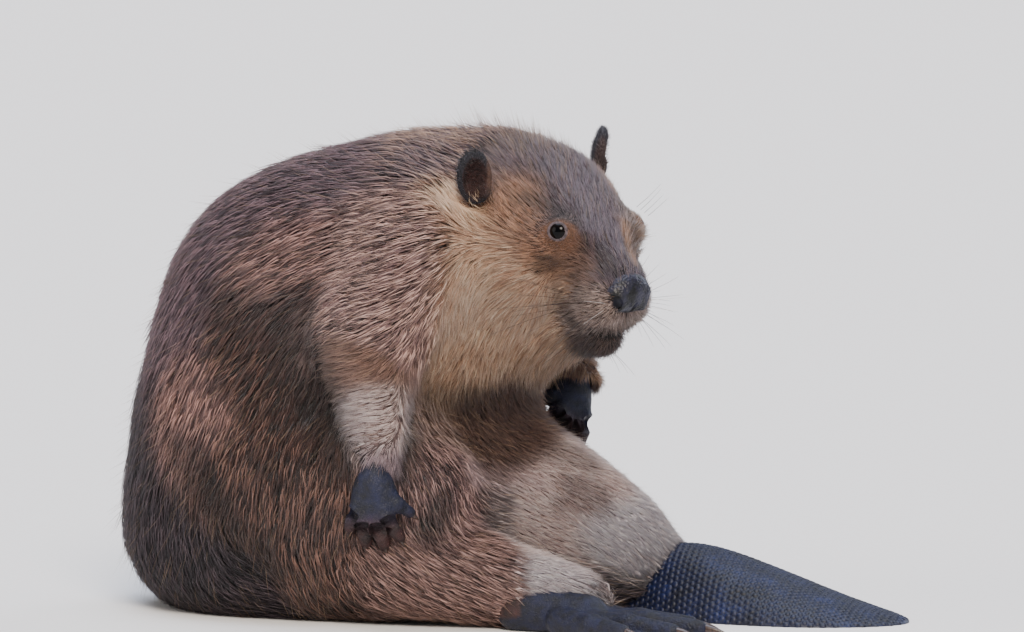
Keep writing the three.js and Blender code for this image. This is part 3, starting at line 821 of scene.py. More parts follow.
FULL_DEPTH = 9.5
THIN = (
    Thin((84, 0, -40), 52, 0.78, HEAD),
    Thin((58, 36, -9), 20, 0.7, HEAD),
    Thin((58, -36, -9), 20, 0.7, HEAD),
    Thin((25, 0, 12), 50, 0.6, HEAD),
    Thin((-6, -134, 118), 34, 0.65),
    Thin((68, 64, 148), 34, 0.65),
    Thin((105, 10, 55), 75, 0.6),
    Thin((90, -92, 24), 34, 0.5),
    Thin((90, 92, 24), 34, 0.5),
)


def coat_depth(p: Array) -> Array:
    """How far the skin lies under the coat's outline."""
    depth = np.full(len(p), FULL_DEPTH)
    for thin in THIN:
        square = ((p - thin.frame.outside(np.array(thin.place))) ** 2).sum(1) / thin.radius**2
        depth *= 1 - thin.share * np.exp(-square)
    return depth


class Shrunk(Changed):
    """The flesh under the coat."""

    def distance(self, p: Array) -> Array:
        """See Form."""
        return self.body.distance(p) + coat_depth(p)


@dataclass(frozen=True)
class Ground(Form):
    """Everything under a level."""

    top: float

    def distance(self, p: Array) -> Array:
        """See Form."""
        return p[:, 2] - self.top

    @cached_property
    def ball(self) -> tuple[Array, float]:
        """See Form."""
        return np.array([0.0, 0.0, -1e6]), 1e6 + self.top


def lids(side: Side) -> Form:
    """The ball that the lids wrap round the eye."""
    return Ellipsoid((-1.2, 0, 0), (8.9, 8.8, 8.3), eye_frame(side))


def lid_opening(side: Side) -> Form:
    """The gap between the lids."""
    return Ellipsoid((8.6, 0, 0), (7.6, 5.7, 5.0), eye_frame(side))


MOUTH = Ellipsoid((83, 0, -67), (26, 28, 1.5), HEAD)
LIDDED = Blend(5, (Shrunk(FLESH), lids(Side.LEFT), lids(Side.RIGHT)))
OPENED = Carve(LIDDED, (lid_opening(Side.LEFT), lid_opening(Side.RIGHT), MOUTH), 1.2)
BODY_SKIN = Carve(OPENED, (Ground(1.0),), 5)


class Lie:
    """Runs the zones into each other: what kind of hair grows at a place and which way it points."""

    FALL = 2.2  # how fast a zone's share falls off past its reach
    FAR = 1e-3  # the share that it keeps far off, so that no place is without hair
    CHUNK = 20000  # places read at a time

    def __init__(self, zones: tuple[Zone, ...]) -> None:
        """Lays out the zones of both sides."""
        sides = [side for zone in zones for side in zone.sides()]
        self.places = np.array([s[0] for s in sides])
        self.reach = np.array([s[1] for s in sides])
        self.ways = np.array([s[2] for s in sides])
        self.numbers = np.array([s[3].numbers() for s in sides])
        self.slots = list(dict.fromkeys(s[3].slot for s in sides))
        self.slot_of = np.array([self.slots.index(s[3].slot) for s in sides])

    def weights(self, p: Array) -> Array:
        """Each zone's share at each place."""
        q = ((p[:, None, :] - self.places[None]) ** 2).sum(2) / self.reach**2
        w = np.exp(-self.FALL * q) + self.FAR / (1 + q * q)
        return w / w.sum(1, keepdims=True)

    def read(self, p: Array) -> tuple[Array, Array, Array]:
        """Lie, hair numbers and slot index at each place."""
        ways, numbers, slots = [], [], []
        for start in range(0, len(p), self.CHUNK):
            w = self.weights(p[start : start + self.CHUNK])
            ways.append(w @ self.ways)
            numbers.append(w @ self.numbers)
            shares = np.stack([w[:, self.slot_of == k].sum(1) for k in range(len(self.slots))], 1)
            slots.append(shares.argmax(1))
        return unit(np.concatenate(ways)), np.concatenate(numbers), np.concatenate(slots)


HASH = (73856093, 19349663, 83492791, 2654435761, 2246822519)  # large primes, for x, y, z, seed and stir


def grain(p: Array, pitch: float, seed: int) -> Array:
    """Smooth noise from -1 to 1 with features pitch millimetres across.

    Each corner of a grid gets a number from a hash of its place, and a point runs them together.
    """
    q = p / pitch
    cell = np.floor(q).astype(np.int64)
    f = q - cell
    f = f * f * (3 - 2 * f)
    total = np.zeros(len(p))
    for corner in range(8):
        bits = np.array([corner & 1, corner >> 1 & 1, corner >> 2 & 1])
        c = cell + bits
        h = (c[:, 0] * HASH[0] ^ c[:, 1] * HASH[1] ^ c[:, 2] * HASH[2] ^ seed * HASH[3]) & 0xFFFFFFFF
        h = (h ^ h >> 15) * HASH[4] & 0xFFFFFFFF
        h = (h ^ h >> 13) & 0xFFFF
        total += np.prod(np.where(bits, f, 1 - f), axis=1) * h
    return total / (0xFFFF / 2) - 1


def paint(p: Array, colour: Array) -> Array:
    """The colours at these places with every marking and every patch of painted shade laid over them."""
    for marking in MARKINGS_AND_PAINTED_SHADE:
        near = gap(p, marking.form) < marking.fade
        if near.any():
            colour[near] = marking.over(p[near], colour[near])
    return colour


# ---------------- finishes


class Shader:
    """Builds a node material from the surface up."""

    def __init__(self, name: str, roughness: float) -> None:
        """Starts a material with one principled surface."""
        self.material = bpy.data.materials.new(name)
        self.material.use_nodes = True
        self.tree = self.material.node_tree
        self.surface = self.tree.nodes["Principled BSDF"]
        self.set(Roughness=roughness)

    def set(self, **values: float | tuple) -> None:
        """Sets the surface's own sockets; _ stands for a space."""
        for name, value in values.items():
            self.surface.inputs[name.replace("_", " ")].default_value = value

    def node(self, kind: str, inputs: dict | None = None, **settings: object) -> bpy.types.Node:
        """Adds a node; an input is a value or the socket that feeds it."""
        node = self.tree.nodes.new(kind)
        for key, value in settings.items():
            setattr(node, key, value)
        for key, value in (inputs or {}).items():
            if isinstance(value, Socket):
                self.tree.links.new(value, node.inputs[key])
            else:
                node.inputs[key].default_value = value
        return node

    def feed(self, name: str, socket: Socket) -> None:
        """Feeds a socket of the surface."""
        self.tree.links.new(socket, self.surface.inputs[name])

    def place(self, scale: Vec = (1, 1, 1)) -> Socket:
        """Object coordinates in millimetres over the given scale."""
        coordinates = self.node("ShaderNodeTexCoord").outputs["Object"]
        grown = tuple(1000 * s for s in scale)
        return self.node("ShaderNodeMapping", {"Vector": coordinates, "Scale": grown}).outputs["Vector"]

    def noise(self, at: Socket, pitch: float, detail: float = 3) -> Socket:
        """Noise with features pitch millimetres across."""
        inputs = {"Vector": at, "Scale": 1 / pitch, "Detail": detail}
        return self.node("ShaderNodeTexNoise", inputs).outputs["Fac"]

    def cells(self, at: Socket, pitch: float, feature: str) -> Socket:
        """The distance field of cells pitch millimetres across."""
        inputs = {"Vector": at, "Scale": 1 / pitch}
        return self.node("ShaderNodeTexVoronoi", inputs, feature=feature).outputs["Distance"]

    def carried(self, name: str, output: str) -> Socket:
        """What the mesh carries at its corners under a name."""
        return self.node("ShaderNodeAttribute", attribute_name=name).outputs[output]

    def shaded(self, tone: Socket) -> None:
        """Colours the surface by the shade that the mesh carries, darkened by a tone."""
        self.feed("Base Color", self.times(self.carried("marking", "Color"), tone))

    def ramp(self, at: Socket, *stops: tuple[float, str]) -> Socket:
        """A colour ramp over display colours."""
        node = self.node("ShaderNodeValToRGB", {"Fac": at})
        marks = node.color_ramp.elements
        while len(marks) < len(stops):
            marks.new(0.5)
        for mark, (position, shade) in zip(marks, stops):
            mark.position = position
            mark.color = (*linear(shade), 1)
        return node.outputs["Color"]

    def times(self, a: Socket, b: Socket) -> Socket:
        """One colour darkened by another."""
        inputs = {0: 1.0, 6: a, 7: b}  # share and the two colours
        return self.node("ShaderNodeMix", inputs, data_type="RGBA", blend_type="MULTIPLY").outputs[2]

    def bump(self, height: Socket, depth: float, strength: float = 1.0) -> None:
        """Bumps the surface by so many millimetres, on top of what bumps it already."""
        inputs = {"Height": height, "Distance": depth * MM, "Strength": strength}
        before = self.surface.inputs["Normal"].links
        if before:
            inputs["Normal"] = before[0].from_socket
        self.feed("Normal", self.node("ShaderNodeBump", inputs).outputs["Normal"])


Stops = tuple[tuple[float, str], ...]  # the stops of a colour ramp: places and display colours
Gloss = tuple[tuple[str, float], ...]  # names and values of a surface's sockets


@dataclass(frozen=True)
class Finish:
    """One finish of the model.

    Attributes:
        name: its material's name.
        roughness: of its surface.
        gloss: the surface's other sockets that are the same all over.
    """

    name: str
    roughness: float
    gloss: Gloss = ()

    def dress(self, shader: Shader) -> None:
        """Gives the surface its colours and its relief."""
        raise NotImplementedError

    def material(self) -> Material:
        """Builds the material."""
        shader = Shader(self.name, self.roughness)
        self.dress(shader)
        shader.set(**dict(self.gloss))
        return shader.material


@dataclass(frozen=True)
class LockFinish(Finish):
    """Damp hair: the shade that each lock carries, with finer hairs drawn along it."""

    roughness: float = 0.5
    gloss: Gloss = (
        ("Specular_IOR_Level", 0.4), ("Sheen_Weight", 0.12), ("Sheen_Roughness", 0.4))
    tones: Stops = ((0.25, "b0b0b0"), (0.75, "ffffff"))
    ridge: float = 0.25  # height of a drawn hair, mm

    def dress(self, shader: Shader) -> None:
        """See Finish."""
        hairs = shader.noise(shader.carried("strand", "Vector"), 1.0, 2)
        shader.shaded(shader.ramp(hairs, *self.tones))
        shader.bump(hairs, self.ridge, 0.6)


@dataclass(frozen=True)
class WoolFinish(Finish):
    """The dense wool under the locks, with the same markings, darker: partly the wool's own dark, partly
    painted shade between the locks.
    """

    name: str = "under coat"
    roughness: float = 0.9
    pitch: float = 1.6
    tones: Stops = ((0.3, "6a6a6a"), (0.7, "d8d8d8"))
    relief: float = 0.8

    def dress(self, shader: Shader) -> None:
        """See Finish."""
        wool = shader.noise(shader.place(), self.pitch, 5)
        shader.shaded(shader.ramp(wool, *self.tones))
        shader.bump(wool, self.relief)


@dataclass(frozen=True)
class HideFinish(Finish):
    """Bare hide of hands and feet: blue-black, its blue cast a painted reflection of the sky, browner on
    the fingers, creased and finely grained.
    """

    name: str = "bare hide"
    roughness: float = 0.56
    gloss: Gloss = (("Specular_IOR_Level", 0.42),)
    tones: Stops = ((0.35, "7d7d7d"), (0.7, "ffffff"))
    scale: float = 1.7  # pitch of the fine scales, mm
    crease: float = 3.2  # pitch of the creases, mm

    def dress(self, shader: Shader) -> None:
        """See Finish."""
        at = shader.place()
        shader.shaded(shader.ramp(shader.noise(at, 7, 4), *self.tones))
        edges = shader.cells(at, self.scale, "DISTANCE_TO_EDGE")
        shader.bump(shader.ramp(edges, (0.0, "000000"), (0.16, "ffffff")), 0.22)
        shader.bump(shader.noise(at, self.crease, 4), 0.8)


@dataclass(frozen=True)
class ScaleFinish(Finish):
    """Tail scales: dark slate with a blue cast, which is a painted reflection of the sky; scuffed paler
    here and there, damp.
    """

    name: str = "tail scales"
    roughness: float = 0.5
    gloss: Gloss = (("Specular_IOR_Level", 0.42),)
    # dark slate whose blue cast is a painted reflection of the sky
    slate: Stops = ((0.3, "080e22"), (0.55, "0f1a40"), (0.75, "1c2c60"))
    wear: Stops = ((0.4, "9a9a9a"), (0.75, "ffffff"))

    def dress(self, shader: Shader) -> None:
        """See Finish."""
        at = shader.place()
        slate = shader.ramp(shader.noise(at, 16, 5), *self.slate)
        wear = shader.ramp(shader.noise(at, 1.3, 3), *self.wear)
        shader.feed("Base Color", shader.times(slate, wear))
        shader.bump(shader.noise(at, 0.9, 3), 0.15)
        shader.bump(shader.noise(at, 22, 2), 1.5)


@dataclass(frozen=True)
class NoseFinish(Finish):
    """The moist pad of the nose: near black, pebbled."""

    name: str = "nose pad"
    roughness: float = 0.45
    gloss: Gloss = (
        ("Specular_IOR_Level", 0.32), ("Coat_Weight", 0.05), ("Coat_Roughness", 0.3))
    shades: Stops = ((0.4, "050507"), (0.65, "201f30"))
    pebble: float = 1.1  # pitch of the pebbles, mm

    def dress(self, shader: Shader) -> None:
        """See Finish."""
        at = shader.place()
        shader.feed("Base Color", shader.ramp(shader.noise(at, 7, 4), *self.shades))
        shader.bump(shader.cells(at, self.pebble, "SMOOTH_F1"), 0.3)


@dataclass(frozen=True)
class HornFinish(Finish):
    """Horn: dark brown with paler streaks along it, polished by use."""

    name: str = "claw horn"
    roughness: float = 0.32
    gloss: Gloss = (("Specular_IOR_Level", 0.6),)
    streaks: Stops = ((0.3, "1d1513"), (0.6, "3d2c25"), (0.8, "6a5244"))

    def dress(self, shader: Shader) -> None:
        """See Finish."""
        streaks = shader.noise(shader.place((1, 1, 0.2)), 1.2, 4)
        shader.feed("Base Color", shader.ramp(streaks, *self.streaks))
        shader.bump(shader.noise(shader.place(), 0.8, 2), 0.1)


@dataclass(frozen=True)
class EyeFinish(Finish):
    """A dark brown eye under a wet film, with a black pupil round a place."""

    roughness: float = 0.07
    gloss: Gloss = (("Specular_IOR_Level", 0.12),)
    pupil: Vec = (0, 0, 0)  # where it looks out, metres
    shades: Stops = (  # by centimetres from there
        (0.0, "020203"), (0.27, "030304"), (0.33, "0b0706"), (0.62, "080606"))

    def dress(self, shader: Shader) -> None:
        """See Finish."""
        middle = shader.node("ShaderNodeCombineXYZ", dict(zip("XYZ", self.pupil))).outputs["Vector"]
        coordinates = shader.node("ShaderNodeTexCoord").outputs["Object"]
        far = shader.node("ShaderNodeVectorMath", {0: coordinates, 1: middle}, operation="DISTANCE")
        scaled = shader.node("ShaderNodeMath", {0: far.outputs["Value"], 1: 100.0}, operation="MULTIPLY")
        shader.feed("Base Color", shader.ramp(scaled.outputs["Value"], *self.shades))


@dataclass(frozen=True)
class WhiskerFinish(Finish):
    """Smooth whiskers in the shade that each carries."""

    name: str = "whisker"
    roughness: float = 0.4

    def dress(self, shader: Shader) -> None:
        """See Finish."""
        shader.feed("Base Color", shader.carried("marking", "Color"))


@dataclass(frozen=True)
class PaperFinish(Finish):
    """The studio's pale paper."""

    name: str = "floor"
    roughness: float = 0.9
    shades: Stops = ((0.3, "e4e2df"), (0.7, "e8e6e3"))

    def dress(self, shader: Shader) -> None:
        """See Finish."""
        shader.feed("Base Color", shader.ramp(shader.noise(shader.place(), 4, 3), *self.shades))


# ---------------- meshes


def fetch(items: object, field: str, width: int = 1, kind: type = float) -> Array:
    """Reads one field of every item of a mesh's collection.

    Args:
        items: the collection.
        field: the field's name.
        width: how many numbers it has.
        kind: their type.

    Returns:
        The numbers, a row for each item where the field has more than one.
    """
    values = np.empty(len(items) * width, kind)
    items.foreach_get(field, values)
    return values if width == 1 else values.reshape(-1, width)


def points(mesh: Mesh) -> Array:
    """A mesh's corners in layout millimetres."""
    return from_model(fetch(mesh.vertices, "co", 3))


def set_points(mesh: Mesh, p: Array) -> None:
    """Moves a mesh's corners to layout places."""
    mesh.vertices.foreach_set("co", to_model(p).ravel())
    mesh.update()


def as_mesh(bm: bmesh.types.BMesh, name: str) -> Mesh:
    """A new mesh from a bmesh, which is freed."""
    mesh = bpy.data.meshes.new(name)
    bm.to_mesh(mesh)
    bm.free()
    return mesh


def placed(name: str, data: bpy.types.ID) -> Object:
    """A new object of the scene that shows this data."""
    obj = bpy.data.objects.new(name, data)
    bpy.context.scene.collection.objects.link(obj)
    return obj


def relax(mesh: Mesh, form: Form, rounds: int, share: float = 0.5) -> None:
    """Evens a mesh out and keeps it on its form."""
    a, b = fetch(mesh.edges, "vertices", 2, np.int64).T
    p = points(mesh)
    count = np.bincount(np.concatenate([a, b]), minlength=len(p)).clip(1)[:, None]
    for _ in range(rounds):
        total = np.stack([
            np.bincount(a, q[b], len(p)) + np.bincount(b, q[a], len(p)) for q in p.T
        ], 1)
        p = form.settle(p + share * (total / count - p), rounds=1)
    set_points(mesh, form.settle(p, rounds=2))


def remeshed(name: str, nodes: dict, parts: tuple[str, ...], voxel: float,
             plugs: tuple[tuple[Vec, float], ...] = ()) -> Mesh:
    """One closed mesh round copies of CAD nodes.

    Args:
        name: the new mesh's name.
        nodes: the frame's nodes.
        parts: the nodes to take.
        voxel: the grid's pitch, mm.
        plugs: balls that fill gaps between them, centre and radius.

    Returns:
        The mesh, in model metres.
    """
    bm = bmesh.new()
    for part in parts:
        bm.from_mesh(nodes[part].data)
    bmesh.ops.remove_doubles(bm, verts=bm.verts, dist=WELD)
    for centre, radius in plugs:
        place = Matrix.Translation(to_model(np.array(centre)))
        bmesh.ops.create_icosphere(bm, subdivisions=3, radius=radius * MM, matrix=place)
    stock = placed(name, as_mesh(bm, name))
    remesh = stock.modifiers.new("remesh", "REMESH")
    remesh.mode = "VOXEL"
    remesh.voxel_size = voxel * MM
    shell = bpy.data.meshes.new_from_object(stock.evaluated_get(bpy.context.evaluated_depsgraph_get()))
    bpy.data.objects.remove(stock)
    return shell


def refined(mesh: Mesh, form: Form, wanted: Callable[[Array], Array], rounds: int) -> None:
    """Splits edges that are longer than wanted, settling the new corners on the form.

    Args:
        mesh: the mesh to refine.
        form: what its corners lie on.
        wanted: the edge length for given places, mm.
        rounds: how often to split.
    """
    excess = 1.35  # an edge is split where it is so much longer than wanted
    for _ in range(rounds):
        bm = bmesh.new()
        bm.from_mesh(mesh)
        bmesh.ops.triangulate(bm, faces=bm.faces)
        bm.edges.ensure_lookup_table()
        p = from_model(np.array([v.co for v in bm.verts]))
        ends = np.array([[v.index for v in e.verts] for e in bm.edges])
        a, b = p[ends[:, 0]], p[ends[:, 1]]
        long = np.linalg.norm(a - b, axis=1) > excess * wanted((a + b) / 2)
        if not long.any():
            bm.free()
            return
        bmesh.ops.subdivide_edges(bm, edges=[bm.edges[int(i)] for i in np.flatnonzero(long)], cuts=1)
        bmesh.ops.triangulate(bm, faces=bm.faces)
        bm.to_mesh(mesh)
        bm.free()
        relax(mesh, form, 2, 0.35)


def piece(name: str, mesh: Mesh, slot: Slot, *materials: Material) -> Object:
    """An object of the model: dressed, smooth and riding on the body."""
    mesh.name = name
    for material in materials:
        mesh.materials.append(material)
    mesh.shade_smooth()
    obj = placed(name, mesh)
    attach(obj, "root")
    log.info("%s: %d triangles", name, sum(len(f.vertices) - 2 for f in mesh.polygons))
    return obj


def shade_points(mesh: Mesh, colour: Array) -> None:
    """Stores the shade of each corner of the mesh."""
    layer = mesh.color_attributes.new("marking", "FLOAT_COLOR", "POINT")
    opaque = np.column_stack([colour, np.ones(len(colour))]).astype(np.float32)
    layer.data.foreach_set("color", opaque.ravel())


# ---------------- the skin

FLESH_NODES = ("head", "neck", "trunk", "tail_root", *(
    f"{side.word}_{part}" for side in Side for part in ("upper_arm", "forearm", "haunch", "shank")))

# balls that fill the gaps round the ankles, and their radii
ANKLES = tuple((mirrored(place, side), radius) for side in Side
               for place, radius in (((66, 89, 30), 27.0), ((92, 88, 25), 23.0), ((112, 87, 21), 20.0)))


class Cover(Enum):
    """What covers a shell of the skin, in the order of the skin's materials."""

    COAT = 0
    HIDE = 1
    SCALES = 2


@dataclass
class Skin:
    """The skin: shells for the body, ears, hands, feet and tail, joined into one piece.

    Attributes:
        nodes: the frame's nodes.
        lie: the coat's lie.
        body_pitch: grid of the body's shell, mm.
        ear_pitch: grid of the ears.
        hand_pitch: grid of the hands.
        foot_pitch: grid of the feet.
        body_edge: edge length wanted on the body, mm.
        face_edge: on the front of the head.
        mouth_edge: round the mouth.
        eye_edges: round the eyes, with the distance that each holds within.
        wool: how much of the dark and of the mid shade the wool has; kept low, partly as painted shade
            between the locks.
        hide: shades of hands and feet, and of the fingers; the blue cast of the first is a painted
            reflection of the sky.
    """

    nodes: dict
    lie: Lie
    body_pitch: float = 3.4
    ear_pitch: float = 1.3
    hand_pitch: float = 1.4
    foot_pitch: float = 2.4
    body_edge: float = 4.5
    face_edge: float = 2.6
    mouth_edge: float = 1.5
    eye_edges: tuple[tuple[float, float], ...] = ((18, 1.3), (12.5, 0.75))
    wool: tuple[float, float] = (0.4, 0.1)
    hide: tuple[str, str] = ("0b1230", "3c211f")

    def fineness(self, p: Array) -> Array:
        """The edge length wanted on the body's shell, mm."""
        q = HEAD.inside(p)
        size = np.where((q[:, 0] > 40) & (q[:, 2] > -110), self.face_edge, self.body_edge)
        near_mouth = gap(p, Ellipsoid((90, 0, -58), (26, 26, 26), HEAD)) < 0
        size = np.where(near_mouth, self.mouth_edge, size)
        for side in Side:
            far = np.linalg.norm(p - eye_frame(side).origin, axis=1)
            for within, edge in self.eye_edges:
                size = np.where(far < within, edge, size)
        return size

    def body(self) -> Mesh:
        """The shell under the coat, with lids and mouth."""
        mesh = remeshed("body_shell", self.nodes, FLESH_NODES, self.body_pitch, ANKLES)
        relax(mesh, BODY_SKIN, 8)
        refined(mesh, BODY_SKIN, self.fineness, 5)
        return mesh

    def small(self, node: str, form: Form, pitch: float) -> Mesh:
        """The shell of an ear, a hand or a foot."""
        mesh = remeshed(node, self.nodes, (node,), pitch)
        relax(mesh, form, 6)
        return mesh

    def tint(self, p: Array, cover: Cover) -> Array:
        """The skin's shade at each corner: the wool darkened partly as painted shade, the hide with a
        painted blue reflection.
        """
        if cover is Cover.COAT:
            _, numbers, _ = self.lie.read(p)
            # the wool is darkened: partly its own dark, partly painted shade between the locks
            colour = paint(p, self.wool[0] * numbers[:, DARK] + self.wool[1] * numbers[:, MID])
            for side in Side:
                on = on_ear(p, side)
                colour[on] = ear_shades(p[on], side)
            return colour
        # near black hide with a painted blue reflection of the sky, browner on the fingers
        blue, brown = (linear(shade) for shade in self.hide)
        share = np.zeros(len(p))
        for side in Side:
            q = HANDS[side].frame.inside(p)
            share = np.maximum(share, smooth(q[:, 0], 16, 36) * (np.abs(q).max(1) < 90))
        return blue + (brown - blue) * share[:, None]

    def build(self) -> Object:
        """Builds every shell, joins them and dresses the whole."""
        shells = [(self.body(), Cover.COAT)]
        for side in Side:
            foot = Carve(FEET[side].form(), (Ground(0.2),), 2)
            for part, form, pitch, cover in (
                ("ear", ear_form(side), self.ear_pitch, Cover.COAT),
                ("hand", HANDS[side].form(), self.hand_pitch, Cover.HIDE),
                ("foot", foot, self.foot_pitch, Cover.HIDE),
            ):
                shells.append((self.small(f"{side.word}_{part}", form, pitch), cover))
        shells.append((Tail().hide(), Cover.SCALES))
        bm = bmesh.new()
        colours = []
        for mesh, cover in shells:
            first = len(bm.faces)
            bm.from_mesh(mesh)
            bm.faces.ensure_lookup_table()
            for face in bm.faces[first:]:
                face.material_index = cover.value
            colours.append(self.tint(points(mesh), cover))
            bpy.data.meshes.remove(mesh)
        bmesh.ops.triangulate(bm, faces=bm.faces)
        mesh = as_mesh(bm, "skin")
        shade_points(mesh, np.concatenate(colours))
        finishes = (WoolFinish(), HideFinish(), ScaleFinish())
        skin = piece("skin", mesh, Slot.BELLY, *(finish.material() for finish in finishes))
        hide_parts(*FLESH_NODES, "tail_paddle", *(
            f"{side.word}_{part}" for side in Side for part in ("ear", "hand", "foot")))
        return skin


# ---------------- the tail


@dataclass(frozen=True)
class Tail:
    """The flat scaly tail, ridged on top and bent to the right towards its tip. Millimetres."""

    root: tuple[float, float] = (112.0, 20.0)
    length: float = 205
    width: float = 114
    ridge: float = 52
    bend: float = 22
    scale: float = 4.6  # pitch of the scales
    row: float = 3.9  # pitch of their rows

    def at(self, along: Array, side: Array, up: Array, lift: float = 0.0) -> Array:
        """The surface over a unit ring: along from 0 to 1, side and up on the ring."""
        blunt = np.sqrt(np.maximum(1 - np.abs(2 * along - 1) ** 3, 0))
        half = self.width / 2 * (0.62 + 0.38 * np.sin(math.pi * np.minimum(along * 0.92, 1)))
        ridge = self.ridge * (1 - 0.82 * smooth(along, 0.1, 1))
        x = self.root[0] + along * self.length
        y = self.root[1] - self.bend * along**2 + side * (half * blunt)
        z = np.where(up > 0, np.abs(up) ** 1.4 * ridge * blunt, up * 0.4)
        return np.stack([x, y, np.maximum(z + lift, 0.2)], -1)

    def hide(self) -> Mesh:
        """The tail's own skin, from a ball drawn out to its shape."""
        bm = bmesh.new()
        bmesh.ops.create_uvsphere(bm, u_segments=96, v_segments=72, radius=1)
        bmesh.ops.rotate(bm, verts=bm.verts, cent=(0, 0, 0), matrix=Matrix.Rotation(math.pi / 2, 3, "Y"))
        q = np.array([v.co for v in bm.verts])
        ring = np.maximum(np.hypot(q[:, 1], q[:, 2]), 1e-6)
        p = to_model(self.at((q[:, 0] + 1) / 2, q[:, 1] / ring, q[:, 2] / ring))
        for vert, place in zip(bm.verts, p):
            vert.co = place
        bmesh.ops.remove_doubles(bm, verts=bm.verts, dist=WELD)
        bmesh.ops.recalc_face_normals(bm, faces=bm.faces)
        return as_mesh(bm, "tail_hide")

    def scales(self) -> Object:
        """Rows of low six-sided scales, each a little over the next one back."""
        places, ahead, out = [], [], []
        steps = int(self.length * 0.93 / self.row)
        for i in range(steps):
            along = 0.05 + 0.94 * (i + 0.5) / steps
            turn = np.linspace(-0.06, math.pi + 0.06, 400)
            line = self.at(np.full(400, along), np.cos(turn), np.sin(turn))
            run = np.concatenate([[0], np.cumsum(np.linalg.norm(np.diff(line, axis=0), axis=1))])
            count = max(int(run[-1] / self.scale), 3)
            marks = (np.arange(count) + (0.25 if i % 2 else 0.75)) / count * run[-1]
            angle = np.interp(marks, run, turn)
            here = self.at(np.full(count, along), np.cos(angle), np.sin(angle))
            back = self.at(np.full(count, along - 0.004), np.cos(angle), np.sin(angle))
            beside = self.at(np.full(count, along), np.cos(angle + 0.01), np.sin(angle + 0.01))
            way = unit(here - back)
            places.append(here)
            ahead.append(way)
            out.append(unit(np.cross(unit(beside - here), -way)))
        p, x, z = np.concatenate(places), np.concatenate(ahead), np.concatenate(out)
        z *= np.where(z[:, 2:] < 0, -1, 1)
        y = np.cross(z, x)
        rng = np.random.default_rng(SEED)
        size = rng.uniform(0.84, 1.1, (len(p), 1, 1))
        corners = np.radians(60 * np.arange(6) + 30)
        rim = np.stack([np.cos(corners) * 0.54 * self.scale, np.sin(corners) * 0.56 * self.scale], 1)
        local = np.concatenate([
            np.column_stack([rim, np.full(6, -0.5)]),
            np.column_stack([rim * 0.82, 0.36 + 0.16 * np.cos(corners)]),
            [[0.3, 0, 0.46]],
        ])
        axes = np.stack([x, y, z], 1)
        verts = p[:, None, :] + (local[None] * size) @ axes
        faces = [[k, (k + 1) % 6, 6 + (k + 1) % 6, 6 + k] for k in range(6)]
        tips = [[6 + k, 6 + (k + 1) % 6, 12] for k in range(6)]
        verts[..., 2] = np.maximum(verts[..., 2], 0.0)
        mesh = scattered("tail_scales", verts, faces + tips)
        return piece("tail_scales", mesh, Slot.SCALES, ScaleFinish().material())


def scattered(name: str, verts: Array, faces: list[list[int]]) -> Mesh:
    """Many copies of one small shape as a mesh.

    Args:
        name: the mesh's name.
        verts: corners in the layout, one row of them for each copy.
        faces: the corners of each face of one copy.

    Returns:
        The mesh, in model metres.
    """
    count, each, _ = verts.shape
    flat = np.array([corner for face in faces for corner in face])
    sizes = np.array([len(face) for face in faces])
    starts = np.concatenate([[0], np.cumsum(sizes)[:-1]])
    copy = np.arange(count)[:, None]
    mesh = bpy.data.meshes.new(name)
    mesh.vertices.add(count * each)
    mesh.vertices.foreach_set("co", to_model(verts.reshape(-1, 3)).ravel())
    mesh.loops.add(count * len(flat))
    mesh.loops.foreach_set("vertex_index", (flat + each * copy).ravel().astype(np.int32))
    mesh.polygons.add(count * len(faces))
    mesh.polygons.foreach_set("loop_start", (starts + len(flat) * copy).ravel())
    mesh.update(calc_edges=True)
    return mesh


# ---------------- the coat


@dataclass(frozen=True)
class LockShape:
    """The shape of a lock.

    Attributes:
        faces: the corners of each of its faces.
        spots: each corner's place on the lock's own patch of the unwrap.
    """

    faces: list[list[int]]
    spots: list[list[float]]


LONG = LockShape(  # root, three corners half-way, tip
    [[0, 1, 2], [0, 2, 3], [0, 3, 1], [4, 2, 1], [4, 3, 2], [4, 1, 3]],
    [[0.5, 0], [0, 0.5], [0.5, 0.5], [1, 0.5], [0.5, 1]])
SHORT = LockShape(  # three corners at the root, and the tip
    [[0, 1, 2], [0, 3, 1], [1, 3, 2], [2, 3, 0]],
    [[0, 0], [0.5, 0], [1, 0], [0.5, 1]])
SHORT_COATS = (Slot.FACE, Slot.ARM, Slot.BELLY)
LID_RIM = 6.4  # the lids are bare this far from the line the eye looks along, mm
WRIST_REACH = 3  # locks cover a hand up to here from its wrist, mm
BURIED = -1.2  # skin deeper than this inside the whole grows nothing, mm
BAKE_PATCH = 0.003  # width of one lock on the unwrap
GROUND_GAP = 0.3  # nothing of a lock comes nearer to the floor, mm


def along(v: Array, normal: Array) -> Array:
    """The directions laid along the surface that has these normals."""
    return unit(v - normal * (v * normal).sum(1, keepdims=True))


